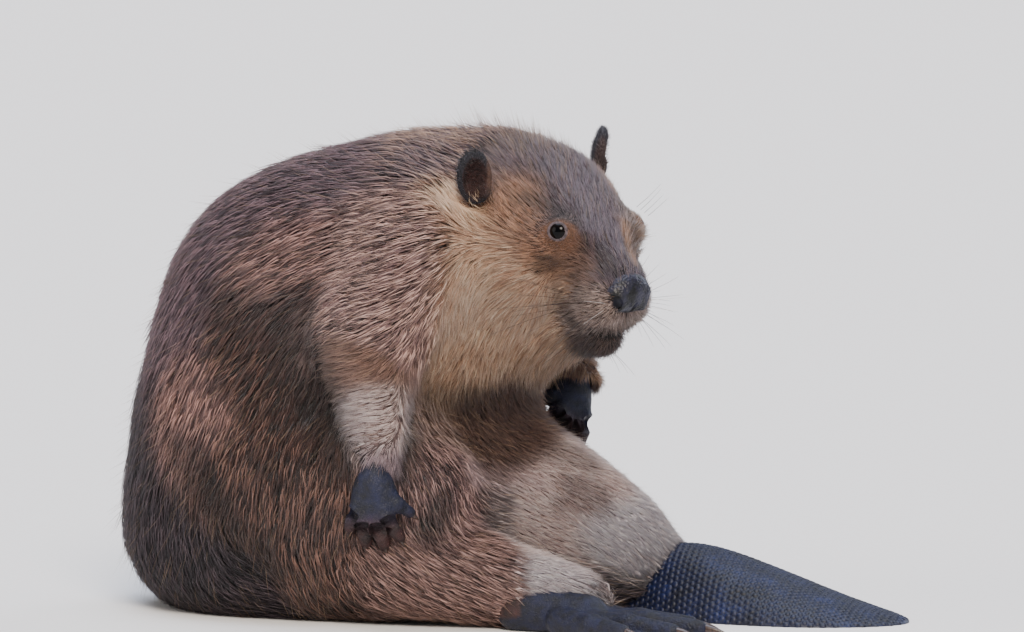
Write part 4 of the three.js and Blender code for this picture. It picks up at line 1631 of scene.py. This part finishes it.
@dataclass
class Seedbed:
    """Where locks may grow: the skin's triangles, open to the air and not bare."""

    corners: Array  # three places for each triangle, layout mm
    faces: Array  # their index among the skin's faces
    areas: Array

    @staticmethod
    def of(skin: Object, whole: Form) -> Seedbed:
        """Reads the coat-covered triangles of the skin."""
        mesh = skin.data
        p = points(mesh)
        tri = fetch(mesh.polygons, "vertices", 3, np.int64)
        cover = fetch(mesh.polygons, "material_index", 1, np.int32)
        middle = p[tri].mean(1)
        furred = cover == Cover.COAT.value
        for hand in HANDS.values():
            q = hand.frame.inside(middle)
            furred |= (cover == Cover.HIDE.value) & (np.abs(q).max(1) < 60) & (q[:, 0] < WRIST_REACH)
        faces = np.flatnonzero(furred)
        corners = p[tri[faces]]
        middle = middle[faces]
        keep = whole.distance(middle) > BURIED
        for side in Side:
            q = eye_frame(side).inside(middle)
            keep &= (np.hypot(q[:, 1], q[:, 2] * 1.1) > LID_RIM) | (q[:, 0] < 0)
        faces, corners = faces[keep], corners[keep]
        a, b, c = corners[:, 0], corners[:, 1], corners[:, 2]
        return Seedbed(corners, faces, np.linalg.norm(np.cross(b - a, c - a), axis=1) / 2)


@dataclass
class Coat:
    """The locks of the coat.

    Attributes:
        lie: what grows where.
        whole: the skin as one form.
        triangles: how many to spend on all the locks.
        most: the most triangles in one piece.
    """

    NAPE, NAPE_REACH = np.array([56.0, -8.0, 314.0]), 34.0  # where many hairs stand up
    REBELS = (0.03, 0.17)  # share of locks that stand up: everywhere, and on top of that on the nape
    REBEL_GIRTH = 0.62  # their girth as a share of the others'
    BRIGHT = 0.15  # share of pale locks, which lie on top
    TIPPED = 0.45  # how far tips pale towards the lightest shade
    SUNLIT = "e6c096"  # what the tips of locks that stand up turn towards
    WAVE = (22, 0.22)  # pitch and turn of the waves in the lie, mm and radians
    MOTTLE = (14, 0.2)  # pitch and strength of slow changes of shade
    ELBOW = 0.45  # how far along a lock its middle is
    PROBE = 0.5  # step over which a normal is felt, mm
    EVERY = 9  # locks to a leader
    BASE, SHAFT, SPIKE = 0.22, 0.85, 0.72  # darkening of roots, of middles and of the feet of short locks: partly the hairs' own darker bases, partly painted shade deep in the coat
    FUZZ = (3.2, 0.24, 1.0, 0.25, 12.0, 0.2)  # length, girth, density, lift, stray and clump on ears

    lie: Lie
    whole: Form
    triangles: int = 1_420_000
    most: int = 190_000

    @staticmethod
    def shape(slot: Slot) -> LockShape:
        """The locks' shape in a slot."""
        return SHORT if slot in SHORT_COATS else LONG

    def roots(self, ground: Seedbed, rng: np.random.Generator) -> tuple[Array, Array, Array]:
        """Sows the roots.

        Returns:
            Places, index of each root's triangle in the ground, and its weights on the triangle's corners.
        """
        _, numbers, slots = self.lie.read(ground.corners.mean(1))
        share = ground.areas * numbers[:, DENSITY]
        cost = np.array([len(self.shape(slot).faces) for slot in self.lie.slots])[slots]
        count = int(self.triangles * share.sum() / (share * cost).sum())
        log.info("coat: %.3f m2, %d locks", ground.areas.sum() * MM * MM, count)
        pick = rng.choice(len(share), count, p=share / share.sum())
        u, v = rng.random((2, count))
        over = u + v > 1
        u, v = np.where(over, 1 - u, u), np.where(over, 1 - v, v)
        weights = np.stack([1 - u - v, u, v], 1)
        return (ground.corners[pick] * weights[:, :, None]).sum(1), pick, weights

    def walk(self, p: Array, way: Array, step: Array, height: Array) -> tuple[Array, Array]:
        """Goes step along the coat and comes to height over the skin.

        Returns:
            The new places and the skin's normals there.
        """
        q = p + way * step[:, None]
        for _ in range(2):
            d, g = self.whole.slope(q, self.PROBE)
            move = np.clip((d - height) / np.maximum((g * g).sum(1), 0.4), -12, 12)
            q = q - g * move[:, None]
        return q, unit(g)

    def grow(self, ground: Seedbed) -> dict[str, Array]:
        """Grows every lock: its corners, colours and strand coordinates, by lock."""
        rng = np.random.default_rng(SEED)
        root, pick, weights = self.roots(ground, rng)
        count = len(root)
        way, numbers, slots = self.lie.read(root)
        way, numbers = self.near_ears(root, way, numbers)
        length, girth, _, lift, stray, clump = numbers[:, SIZES].T.copy()
        depth = coat_depth(root)
        for side in Side:
            far = np.linalg.norm(root - eye_frame(side).origin, axis=1)
            length *= 0.3 + 0.7 * smooth(far, 8, 22)
            depth *= 0.25 + 0.75 * smooth(far, 8, 24)
        normal = unit(self.whole.slope(root, self.PROBE)[1])
        way = along(way, normal)
        pitch, turn = self.WAVE
        angle = np.radians(stray) * rng.normal(0, 1, count) + turn * grain(root, pitch, 3)
        across = np.cross(normal, way)
        way = unit(way * np.cos(angle)[:, None] + across * np.sin(angle)[:, None])
        long = length * rng.uniform(0.7, 1.15, count)
        bright = rng.random(count) < self.BRIGHT
        tufted = smooth(lift, 1.2, 2.2) * (0.2 + 0.5 * rng.random(count)) * long
        rise = np.where(bright, rng.uniform(0.8, 1.25, count), rng.uniform(0.3, 0.95, count))
        stand = tufted + depth * lift * rise
        middle, over = self.walk(root, way, long * self.ELBOW, stand * 0.75)
        onward = along(self.lie.read(middle)[0], over)
        sway = np.cross(over, onward) * (0.1 * rng.normal(0, 1, count))[:, None]
        onward = unit(0.5 * unit(middle - root) + 0.5 * onward + sway)
        wild = np.exp(-((root - self.NAPE) ** 2).sum(1) / self.NAPE_REACH**2)
        rebel = (rng.random(count) < self.REBELS[0] + self.REBELS[1] * wild) & (long > 8)
        upright = rng.uniform(0.1, 0.42, count) + 0.5 * wild * rng.random(count)
        stand = np.where(rebel, stand * 1.2 + long * upright, stand)
        girth = np.where(rebel, girth * self.REBEL_GIRTH, girth)
        tip, _ = self.walk(middle, onward, long * np.where(rebel, 0.42, 1 - self.ELBOW), stand)
        drawn, leader = self.gather(root, tip, np.where(rebel, 0, clump), long, rng)
        middle, tip = middle + 0.35 * (drawn - tip), drawn
        for place in (middle, tip):
            place[:, 2] = np.maximum(place[:, 2], 0.5)
        wide = girth * rng.uniform(0.7, 1.25, count)
        beside = unit(np.cross(over, tip - root))
        verts = np.empty((count, 5, 3))
        verts[:, 0] = root - 0.8 * normal
        verts[:, 1] = middle + beside * wide[:, None]
        verts[:, 2] = middle + over * (0.8 * wide)[:, None]
        verts[:, 3] = middle - beside * wide[:, None]
        verts[:, 4] = tip
        verts[..., 2] = np.maximum(verts[..., 2], GROUND_GAP)
        colours = self.shades((root, middle, tip), numbers, leader, bright, rebel, rng)
        strand = np.empty((count, 5, 3))
        strand[:, :, 0] = np.array([1, 0, 1, 2, 1]) * 1.1 + rng.uniform(0, 900, (count, 1))
        strand[:, :, 1] = np.array([0, 0.5, 0.5, 0.5, 1]) * 1.6
        strand[:, :, 2] = rng.uniform(0, 900, (count, 1))
        return {"verts": verts, "colours": colours, "strand": strand, "side": beside, "wide": wide,
                "slot": slots, "pick": pick, "weights": weights}

    def near_ears(self, p: Array, way: Array, numbers: Array) -> tuple[Array, Array]:
        """Short fuzz on the ears and a short coat round their roots."""
        numbers = numbers.copy()
        for side in Side:
            frame = ear_frame(side)
            far = np.linalg.norm(frame.inside(p) / (1.0, 1.0, 1.3), axis=1)
            numbers[:, LENGTH] *= 0.3 + 0.7 * smooth(far, 11, 26)
            on = on_ear(p, side)
            shade = ear_shades(p[on], side)
            numbers[on, SIZES] = self.FUZZ
            numbers[on, MID] = shade
            numbers[on, DARK] = shade * 0.4
            numbers[on, LIGHT] = shade * 2.2
            way[on] = unit(frame.way(np.array([0.1, 0.0, 1.0])))
        return way, numbers

    def gather(self, root: Array, tip: Array, clump: Array, long: Array,
               rng: np.random.Generator) -> tuple[Array, Array]:
        """Draws tips together, as damp locks hang.

        Returns:
            The new tips, and each lock's leader.
        """
        leaders = np.arange(0, len(root), self.EVERY)
        tree = kdtree.KDTree(len(leaders))
        for k, index in enumerate(leaders):
            tree.insert(root[index], k)
        tree.balance()
        nearest = np.array([tree.find(place)[1] for place in root])
        leader = leaders[nearest]
        away = np.linalg.norm(root[leader] - root, axis=1)
        share = clump * np.clip(1.4 - away / (0.35 * long), 0, 1) * rng.uniform(0.5, 1.1, len(root))
        return tip + np.clip(share, 0, 0.9)[:, None] * (tip[leader] - tip), leader

    def shades(self, places: tuple[Array, Array, Array], numbers: Array, leader: Array, bright: Array,
               rebel: Array, rng: np.random.Generator) -> Array:
        """The shades of the locks' five corners.

        Args:
            places: roots, middles and tips.
            numbers: each lock's hair.
            leader: each lock's leader, whose mood it shares.
            bright: which locks are pale.
            rebel: which stand up.
            rng: the source of chance.

        Returns:
            Linear shades, by lock and corner.
        """
        root, middle, tip = places
        pitch, strength = self.MOTTLE
        mood = rng.normal(0, 1, len(root))
        own = 0.12 * rng.normal(0, 1, len(root))
        tone = 0.34 + 0.2 * mood[leader] + own + strength * grain(root, pitch, 8)
        tone = np.clip(np.where(bright, 0.8 + 0.25 * tone, tone), 0, 1)[:, None]
        dark, mid, light = numbers[:, DARK], numbers[:, MID], numbers[:, LIGHT]
        shade = np.where(tone < 0.5, dark + (mid - dark) * (tone * 2), mid + (light - mid) * (tone * 2 - 1))
        ends = np.clip(shade + self.TIPPED * np.maximum(light - shade, 0), 0, 1)
        ends[rebel] = 0.45 * ends[rebel] + 0.55 * linear(self.SUNLIT)
        colours = np.empty((len(root), 5, 3))
        # roots and middles are darkened: partly the hairs' own darker bases, partly painted shade deep in
        # the coat
        colours[:, 0] = paint(root, shade.copy()) * self.BASE
        colours[:, 1:4] = (paint(middle, shade.copy()) * self.SHAFT)[:, None]
        colours[:, 4] = 0.5 * (ends + paint(tip, ends.copy()))
        return colours

    def unwrap(self, skin: Object, faces: Array) -> dict[int, Array]:
        """Unwraps part of the skin over its own shape.

        Args:
            skin: the skin.
            faces: the skin's faces to unwrap.

        Returns:
            The three corners' places on the unwrap for each face.
        """
        bm = bmesh.new()
        bm.from_mesh(skin.data)
        wanted = set(faces.tolist())
        origin = bm.faces.layers.int.new("origin")
        for face in bm.faces:
            face[origin] = face.index
        bmesh.ops.delete(bm, geom=[f for f in bm.faces if f.index not in wanted], context="FACES")
        mesh = as_mesh(bm, "unwrap")
        obj = placed("unwrap", mesh)
        bpy.context.view_layer.objects.active = obj
        obj.select_set(True)
        mesh.uv_layers.new(name="OFBake")
        bpy.ops.object.mode_set(mode="EDIT")
        bpy.ops.mesh.select_all(action="SELECT")
        bpy.ops.uv.smart_project(angle_limit=math.radians(66), island_margin=0.004)
        bpy.ops.object.mode_set(mode="OBJECT")
        uv = fetch(mesh.uv_layers["OFBake"].data, "uv", 2)
        index = fetch(mesh.attributes["origin"].data, "value", 1, np.int32)
        bpy.data.objects.remove(obj)
        bpy.data.meshes.remove(mesh)
        return dict(zip(index.tolist(), uv.reshape(-1, 3, 2)))

    def build(self, skin: Object) -> list[Object]:
        """Grows the coat and parts it into pieces by slot and side."""
        ground = Seedbed.of(skin, self.whole)
        locks = self.grow(ground)
        made = []
        for k, slot in enumerate(self.lie.slots):
            finish = LockFinish(slot.value.replace("_", " ")).material()
            mine = np.flatnonzero(locks["slot"] == k)
            parts = max(1, math.ceil(len(mine) * len(self.shape(slot).faces) / self.most))
            order = mine[np.argsort(locks["verts"][mine, 0, 1], kind="stable")]
            for n, share in enumerate(np.array_split(order, parts)):
                name = slot.value if parts == 1 else f"{slot.value}_{n + 1}"
                chosen = {key: values[share] for key, values in locks.items()}
                made.append(self.one(name, slot, finish, skin, ground.faces[chosen["pick"]], chosen))
        return made

    def shortened(self, locks: dict[str, Array]) -> dict[str, Array]:
        """The locks as straight spikes, each with its three corners at the root."""
        verts, wide, side = locks["verts"], locks["wide"][:, None], locks["side"]
        root, tip = verts[:, 0], verts[:, 4]
        over = unit(np.cross(tip - root, side))
        corners = np.stack([root - side * wide, root + 0.9 * over * wide, root + side * wide, tip], 1)
        corners[..., 2] = np.maximum(corners[..., 2], GROUND_GAP)
        colours, strand = locks["colours"][:, 1:].copy(), locks["strand"][:, 1:]
        # the feet of short locks are darkened the same way, partly painted shade deep in the coat
        colours[:, :3] *= self.SPIKE
        return {**locks, "verts": corners, "colours": colours, "strand": strand}

    def one(self, name: str, slot: Slot, finish: Material, skin: Object,
            faces: Array, locks: dict[str, Array]) -> Object:
        """Builds one piece of coat with its bake map.

        Args:
            name: the piece's name.
            slot: its slot.
            finish: its material.
            skin: what the locks grow on.
            faces: the skin's face under each lock.
            locks: the piece's own locks.

        Returns:
            The piece.
        """
        shape = self.shape(slot)
        if shape is SHORT:
            locks = self.shortened(locks)
        mesh = scattered(name, locks["verts"], shape.faces)
        shade_points(mesh, locks["colours"].reshape(-1, 3))
        strand = mesh.attributes.new("strand", "FLOAT_VECTOR", "POINT")
        strand.data.foreach_set("vector", locks["strand"].astype(np.float32).ravel())
        chart = self.unwrap(skin, np.unique(faces))
        corners = np.array([chart[face] for face in faces.tolist()])
        place = (corners * locks["weights"][:, :, None]).sum(1)
        uv = place[:, None, :] + BAKE_PATCH * (np.array(shape.spots) - 0.5)
        layer = mesh.uv_layers.new(name="OFBake")
        layer.data.foreach_set("uv", np.clip(uv[:, np.array(shape.faces).ravel()], 0, 1).ravel())
        return piece(name, mesh, slot, finish)


# ---------------- eyes, nose, claws and whiskers


@dataclass(frozen=True)
class Eye:
    """A smooth wet eye in its socket."""

    side: Side
    segments: tuple[int, int] = (48, 32)  # round it and from pole to pole

    def build(self) -> Object:
        """Builds the eyeball, which stands for the node of its side."""
        frame = eye_frame(self.side)
        bm = bmesh.new()
        around, down = self.segments
        bmesh.ops.create_uvsphere(bm, u_segments=around, v_segments=down, radius=EYE_RADIUS * MM)
        for vert in bm.verts:
            vert.co = Vector(to_model(frame.origin)) + Matrix(frame.axes.tolist()) @ vert.co
        pupil = tuple(to_model(frame.origin + frame.axes[:, 0] * EYE_RADIUS))
        finish = EyeFinish(f"{self.side.word} eye", pupil=pupil)
        eye = piece(f"{self.side.word}_eyeball", as_mesh(bm, "eye"), Slot.EYE, finish.material())
        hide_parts(f"{self.side.word}_eye")
        return eye


@dataclass(frozen=True)
class NosePad:
    """The bare pad of the nose with its two comma nostrils, in the head's frame."""

    centre: Vec = (99.0, 0.0, -38.0)
    size: Vec = (12.0, 17.5, 14.0)

    def form(self) -> Form:
        """Pad and wings, less nostrils and the furrow under them."""
        wings = tuple(Ellipsoid((101, 11.5 * s, -42), (8.5, 7.5, 8), HEAD) for s in (1, -1))
        holes = []
        for s in (1, -1):
            nostril = HEAD.child((106.5, 15.5 * s, -41.5), turned("Z", 50 * s))
            slit = HEAD.child((101, 20 * s, -37.5), turned("Z", 68 * s) @ turned("Y", -28))
            holes.append(Ellipsoid((0, 0, 0), (11, 4.8, 4.6), nostril))
            holes.append(Ellipsoid((0, 0, 0), (6.5, 3, 2.0), slit))
        furrow = Limb((111, 0, -42), 0.8, (105, 0, -54), 1.3, 1.0, HEAD)
        return Carve(Blend(5, (Ellipsoid(self.centre, self.size, HEAD), *wings)), (*holes, furrow), 1.6)

    @staticmethod
    def pebble(mesh: Mesh) -> None:
        """Raises the leathery grain of the pad."""
        p = points(mesh)
        rise = 0.5 * np.abs(grain(p, 1.5, 31)) + 0.25 * grain(p, 4.0, 32)
        set_points(mesh, p - fetch(mesh.vertex_normals, "vector", 3) * rise[:, None])

    def build(self) -> Object:
        """Builds the pad from a fine ball drawn on to its form."""
        bm = bmesh.new()
        bmesh.ops.create_icosphere(bm, subdivisions=6, radius=1)
        q = np.array([v.co for v in bm.verts])
        mesh = as_mesh(bm, "nose_pad")
        set_points(mesh, HEAD.outside(q * np.array(self.size) * 1.05 + np.array(self.centre)))
        relax(mesh, self.form(), 10, 0.3)
        self.pebble(mesh)
        nose = piece("nose_pad", mesh, Slot.HIDE, NoseFinish().material())
        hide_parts("nose")
        return nose


@dataclass(frozen=True)
class ClawSet:
    """The five claws of one hand or foot: flattened cones that taper and droop.

    Attributes:
        limb: the hand or foot, as the nodes name it.
        claws: the claws.
        segments: sides of a claw.
        rings: rings along it.
        flat: its breadth as a share of its height.
        droop: how far its tip hangs, mm.
        blunt: radius left at the tip, mm.
    """

    limb: str
    claws: list[Claw]
    segments: int = 14
    rings: int = 9
    flat: float = 0.78
    droop: float = 2.4
    blunt: float = 0.12

    def claw(self, bm: bmesh.types.BMesh, frame: Frame, length: float, radius: float) -> None:
        """Draws one claw out of a circle, ring by ring, and closes its ends."""
        loop = bmesh.ops.create_circle(bm, segments=self.segments, radius=1)["verts"]
        edges = list({e for v in loop for e in v.link_edges})
        stages = [loop]
        for _ in range(self.rings - 1):
            made = bmesh.ops.extrude_edge_only(bm, edges=edges)["geom"]
            edges = [g for g in made if isinstance(g, bmesh.types.BMEdge)]
            stages.append([g for g in made if isinstance(g, bmesh.types.BMVert)])
        for k, stage in enumerate(stages):
            t = k / (self.rings - 1)
            thick = radius * (1 - t**1.7) ** 0.8 + self.blunt
            for v in stage:
                out = Vector((v.co.x, v.co.y, 0)).normalized()
                local = (t * length, self.flat * thick * out.x, thick * out.y - self.droop * t * t)
                v.co = Vector(to_model(frame.outside(np.array(local))))
        for stage in (stages[0], stages[-1]):
            bmesh.ops.contextual_create(bm, geom=stage)

    def build(self, horn: Material) -> Object:
        """Builds the five as one piece."""
        bm = bmesh.new()
        for claw in self.claws:
            self.claw(bm, *claw)
        bmesh.ops.recalc_face_normals(bm, faces=bm.faces)
        name = f"{self.limb}_claws"
        made = piece(name, as_mesh(bm, name), Slot.CLAW, horn)
        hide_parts(*(f"{self.limb}_claw_{k}" for k in range(1, 6)))
        return made


@dataclass(frozen=True)
class WhiskerRow:
    """One row of whiskers, given for the left side in the head's frame.

    Attributes:
        count: how many.
        root: where the first one stands.
        step: from each root to the next.
        way: the way the first one points.
        turn: how that changes from each to the next.
        scatter: how much their upward slant varies.
        lengths: the shortest and the longest, mm.
        growth: how much longer each may be than the one before, mm.
        pale: whether the first one is pale.
    """

    count: int
    root: Vec
    step: Vec
    way: Vec
    turn: Vec
    scatter: float
    lengths: tuple[float, float]
    growth: float = 0
    pale: bool = False


@dataclass(frozen=True)
class Whiskers:
    """Long stiff whiskers in rows on the upper lip and a few on chin and brow."""

    RINGS = (0.0, 0.35, 0.7, 0.9)  # where the rings of a whisker lie along it

    rows: tuple[WhiskerRow, ...] = (
        *(WhiskerRow(6, (100, 15, -45 - 3.4 * k), (-5.5, 2.2, -0.8), (0.55, 0.95, -0.28 * k + 0.25),
                     (-0.2, -0.02, 0), 0.1, (26, 46), 2, k < 2) for k in range(4)),  # upper lip
        WhiskerRow(7, (92, 9, -84), (-5, 1, -0.6), (0.5, 0.75, -0.6), (-0.1, 0, 0), 0.12, (14, 26)),  # chin
        WhiskerRow(4, (62, 29, 5), (5, -1, 0), (0.3, 0.55, 0.8), (0, 0, 0), 0.1, (16, 26)),  # brow
    )
    girth: float = 0.19  # radius at the root, mm
    dark: str = "2c2224"
    pale: str = "cfc8c2"

    def whisker(self, root: Array, way: Array, length: float, rng: np.random.Generator) -> Array:
        """The corners of one whisker in the layout: four rings and a tip."""
        droop = np.array([-0.25, 0, -0.2]) + rng.normal(0, 0.08, 3)
        side = unit(np.cross(way, [0, 0, 1.0]))
        up = np.cross(side, way)
        corners = []
        for t in self.RINGS:
            at = root + way * length * t + droop * length * t * t * 0.5
            width = self.girth * (1 - 0.7 * t)
            corners += [at + width * (side * math.cos(a) + up * math.sin(a)) for a in (0, 2.1, 4.2)]
        corners.append(root + way * length + droop * length * 0.5)
        return HEAD.outside(np.array(corners))

    def build(self) -> Object:
        """Builds every whisker as one piece."""
        rng = np.random.default_rng(SEED + 1)
        verts, pale = [], []
        for mirror in (np.array([1, 1, 1]), np.array([1, -1, 1])):
            for row in self.rows:
                for k in range(row.count):
                    root = np.array(row.root) + np.array(row.step) * k
                    way = np.array(row.way) + np.array(row.turn) * k
                    way[2] += rng.normal(0, row.scatter)
                    length = rng.uniform(*row.lengths) + row.growth * k
                    verts.append(self.whisker(root * mirror, unit(way * mirror), length, rng))
                    pale.append(row.pale and k == 0)
        faces = [[0, 1, 2]]
        pairs = [(a, (a + 1) % 3) for a in range(3)]
        for k in (0, 3, 6):
            faces += [[k + a, k + 3 + a, k + 3 + b, k + b] for a, b in pairs]
        faces += [[9 + a, 12, 9 + b] for a, b in pairs]
        mesh = scattered("whiskers", np.array(verts), faces)
        shades = np.where(np.array(pale)[:, None], linear(self.pale), linear(self.dark))
        shade_points(mesh, np.repeat(shades, len(verts[0]), axis=0))
        return piece("whiskers", mesh, Slot.FACE, WhiskerFinish().material())


# ---------------- floor, light and camera


@dataclass(frozen=True)
class Studio:
    """A plain pale floor, soft light and a long lens.

    Attributes:
        azimuth: the camera's turn about the model, degrees.
        elevation: its height over the horizon, degrees.
        distance: metres from the model.
        width: metres across the picture at that distance.
        aim: the middle of the picture from the origin, metres to the right and up.
        reach: half of the floor's width, metres.
        air: the shade of the light from all round.
        glow: its strength.
        lamps: name, direction, spread in degrees, power and shade of each lamp.
    """

    azimuth: float = 15
    elevation: float = 5
    distance: float = 6.0
    width: float = 0.67584
    aim: tuple[float, float] = (-0.0036, 0.1931)
    reach: float = 30
    air: str = "d9dde3"
    glow: float = 0.5
    lamps: tuple[tuple[str, Vec, float, float, str], ...] = (
        ("key", (0.9, -2.2, 1.9), 24, 4.4, "fff3e6"),
        ("sky", (-0.4, 0.3, 2.6), 50, 3.4, "dfe8ff"),
        ("fill", (-2.3, -1.4, 0.9), 40, 0.9, "fdf2ea"),
        ("rim", (1.2, 2.2, 1.3), 30, 1.0, "e6edff"),
    )

    def axes(self) -> tuple[Vector, Vector, Vector]:
        """The picture's right, up and the way back to the camera."""
        a, e = math.radians(self.azimuth), math.radians(self.elevation)
        back = Vector((math.sin(a) * math.cos(e), -math.cos(a) * math.cos(e), math.sin(e)))
        right = Vector((math.cos(a), math.sin(a), 0))
        return right, back.cross(right), back

    def camera(self) -> None:
        """Places the camera."""
        right, up, back = self.axes()
        data = bpy.data.cameras.new("camera")
        data.sensor_width = 36
        data.lens = data.sensor_width * self.distance / self.width
        data.clip_end = 50
        camera = placed("camera", data)
        target = right * self.aim[0] + up * self.aim[1]
        turn = Matrix((right, up, back)).transposed()
        camera.matrix_world = Matrix.Translation(target + back * self.distance) @ turn.to_4x4()
        bpy.context.scene.camera = camera

    @staticmethod
    def lamp(name: str, place: Vec, spread: float, power: float, shade: str) -> None:
        """A soft light from far off, which the floor gets as evenly as the model.

        Args:
            name: the lamp's name.
            place: the way it comes from.
            spread: how wide it looks, degrees.
            power: its strength.
            shade: its colour.
        """
        data = bpy.data.lights.new(name, "SUN")
        data.angle = math.radians(spread)
        data.energy = power
        data.color = linear(shade)
        placed(name, data).matrix_world = Vector(place).to_track_quat("Z", "Y").to_matrix().to_4x4()

    def floor(self) -> None:
        """A plain pale floor, wide enough to fill the picture."""
        bm = bmesh.new()
        bmesh.ops.create_grid(bm, x_segments=1, y_segments=1, size=self.reach)
        mesh = as_mesh(bm, "floor")
        mesh.materials.append(PaperFinish().material())
        placed("floor", mesh)

    def build(self) -> None:
        """Builds the whole studio."""
        self.camera()
        self.floor()
        for light in self.lamps:
            self.lamp(*light)
        world = bpy.data.worlds.new("studio")
        world.use_nodes = True
        background = world.node_tree.nodes["Background"]
        background.inputs["Color"].default_value = (*linear(self.air), 1)
        background.inputs["Strength"].default_value = self.glow
        bpy.context.scene.world = world


def main() -> None:
    """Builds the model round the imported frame."""
    logging.basicConfig(level=logging.INFO, format="%(name)s: %(message)s")
    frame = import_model()
    nodes = frame["nodes"]
    Studio().build()
    lie = Lie(ZONES)
    skin = Skin(nodes, lie).build()
    for side in Side:
        Eye(side).build()
    NosePad().build()
    Tail().scales()
    horn = HornFinish().material()
    for side in Side:
        ClawSet(f"{side.word}_hand", HANDS[side].claws()).build(horn)
        ClawSet(f"{side.word}_foot", FEET[side].claws()).build(horn)
    whole = Blend(1.5, (BODY_SKIN, ear_form(Side.LEFT), ear_form(Side.RIGHT)))
    Coat(lie, whole).build(skin)
    Whiskers().build()
    bpy.context.view_layer.update()


if __name__ == "__main__":
    main()
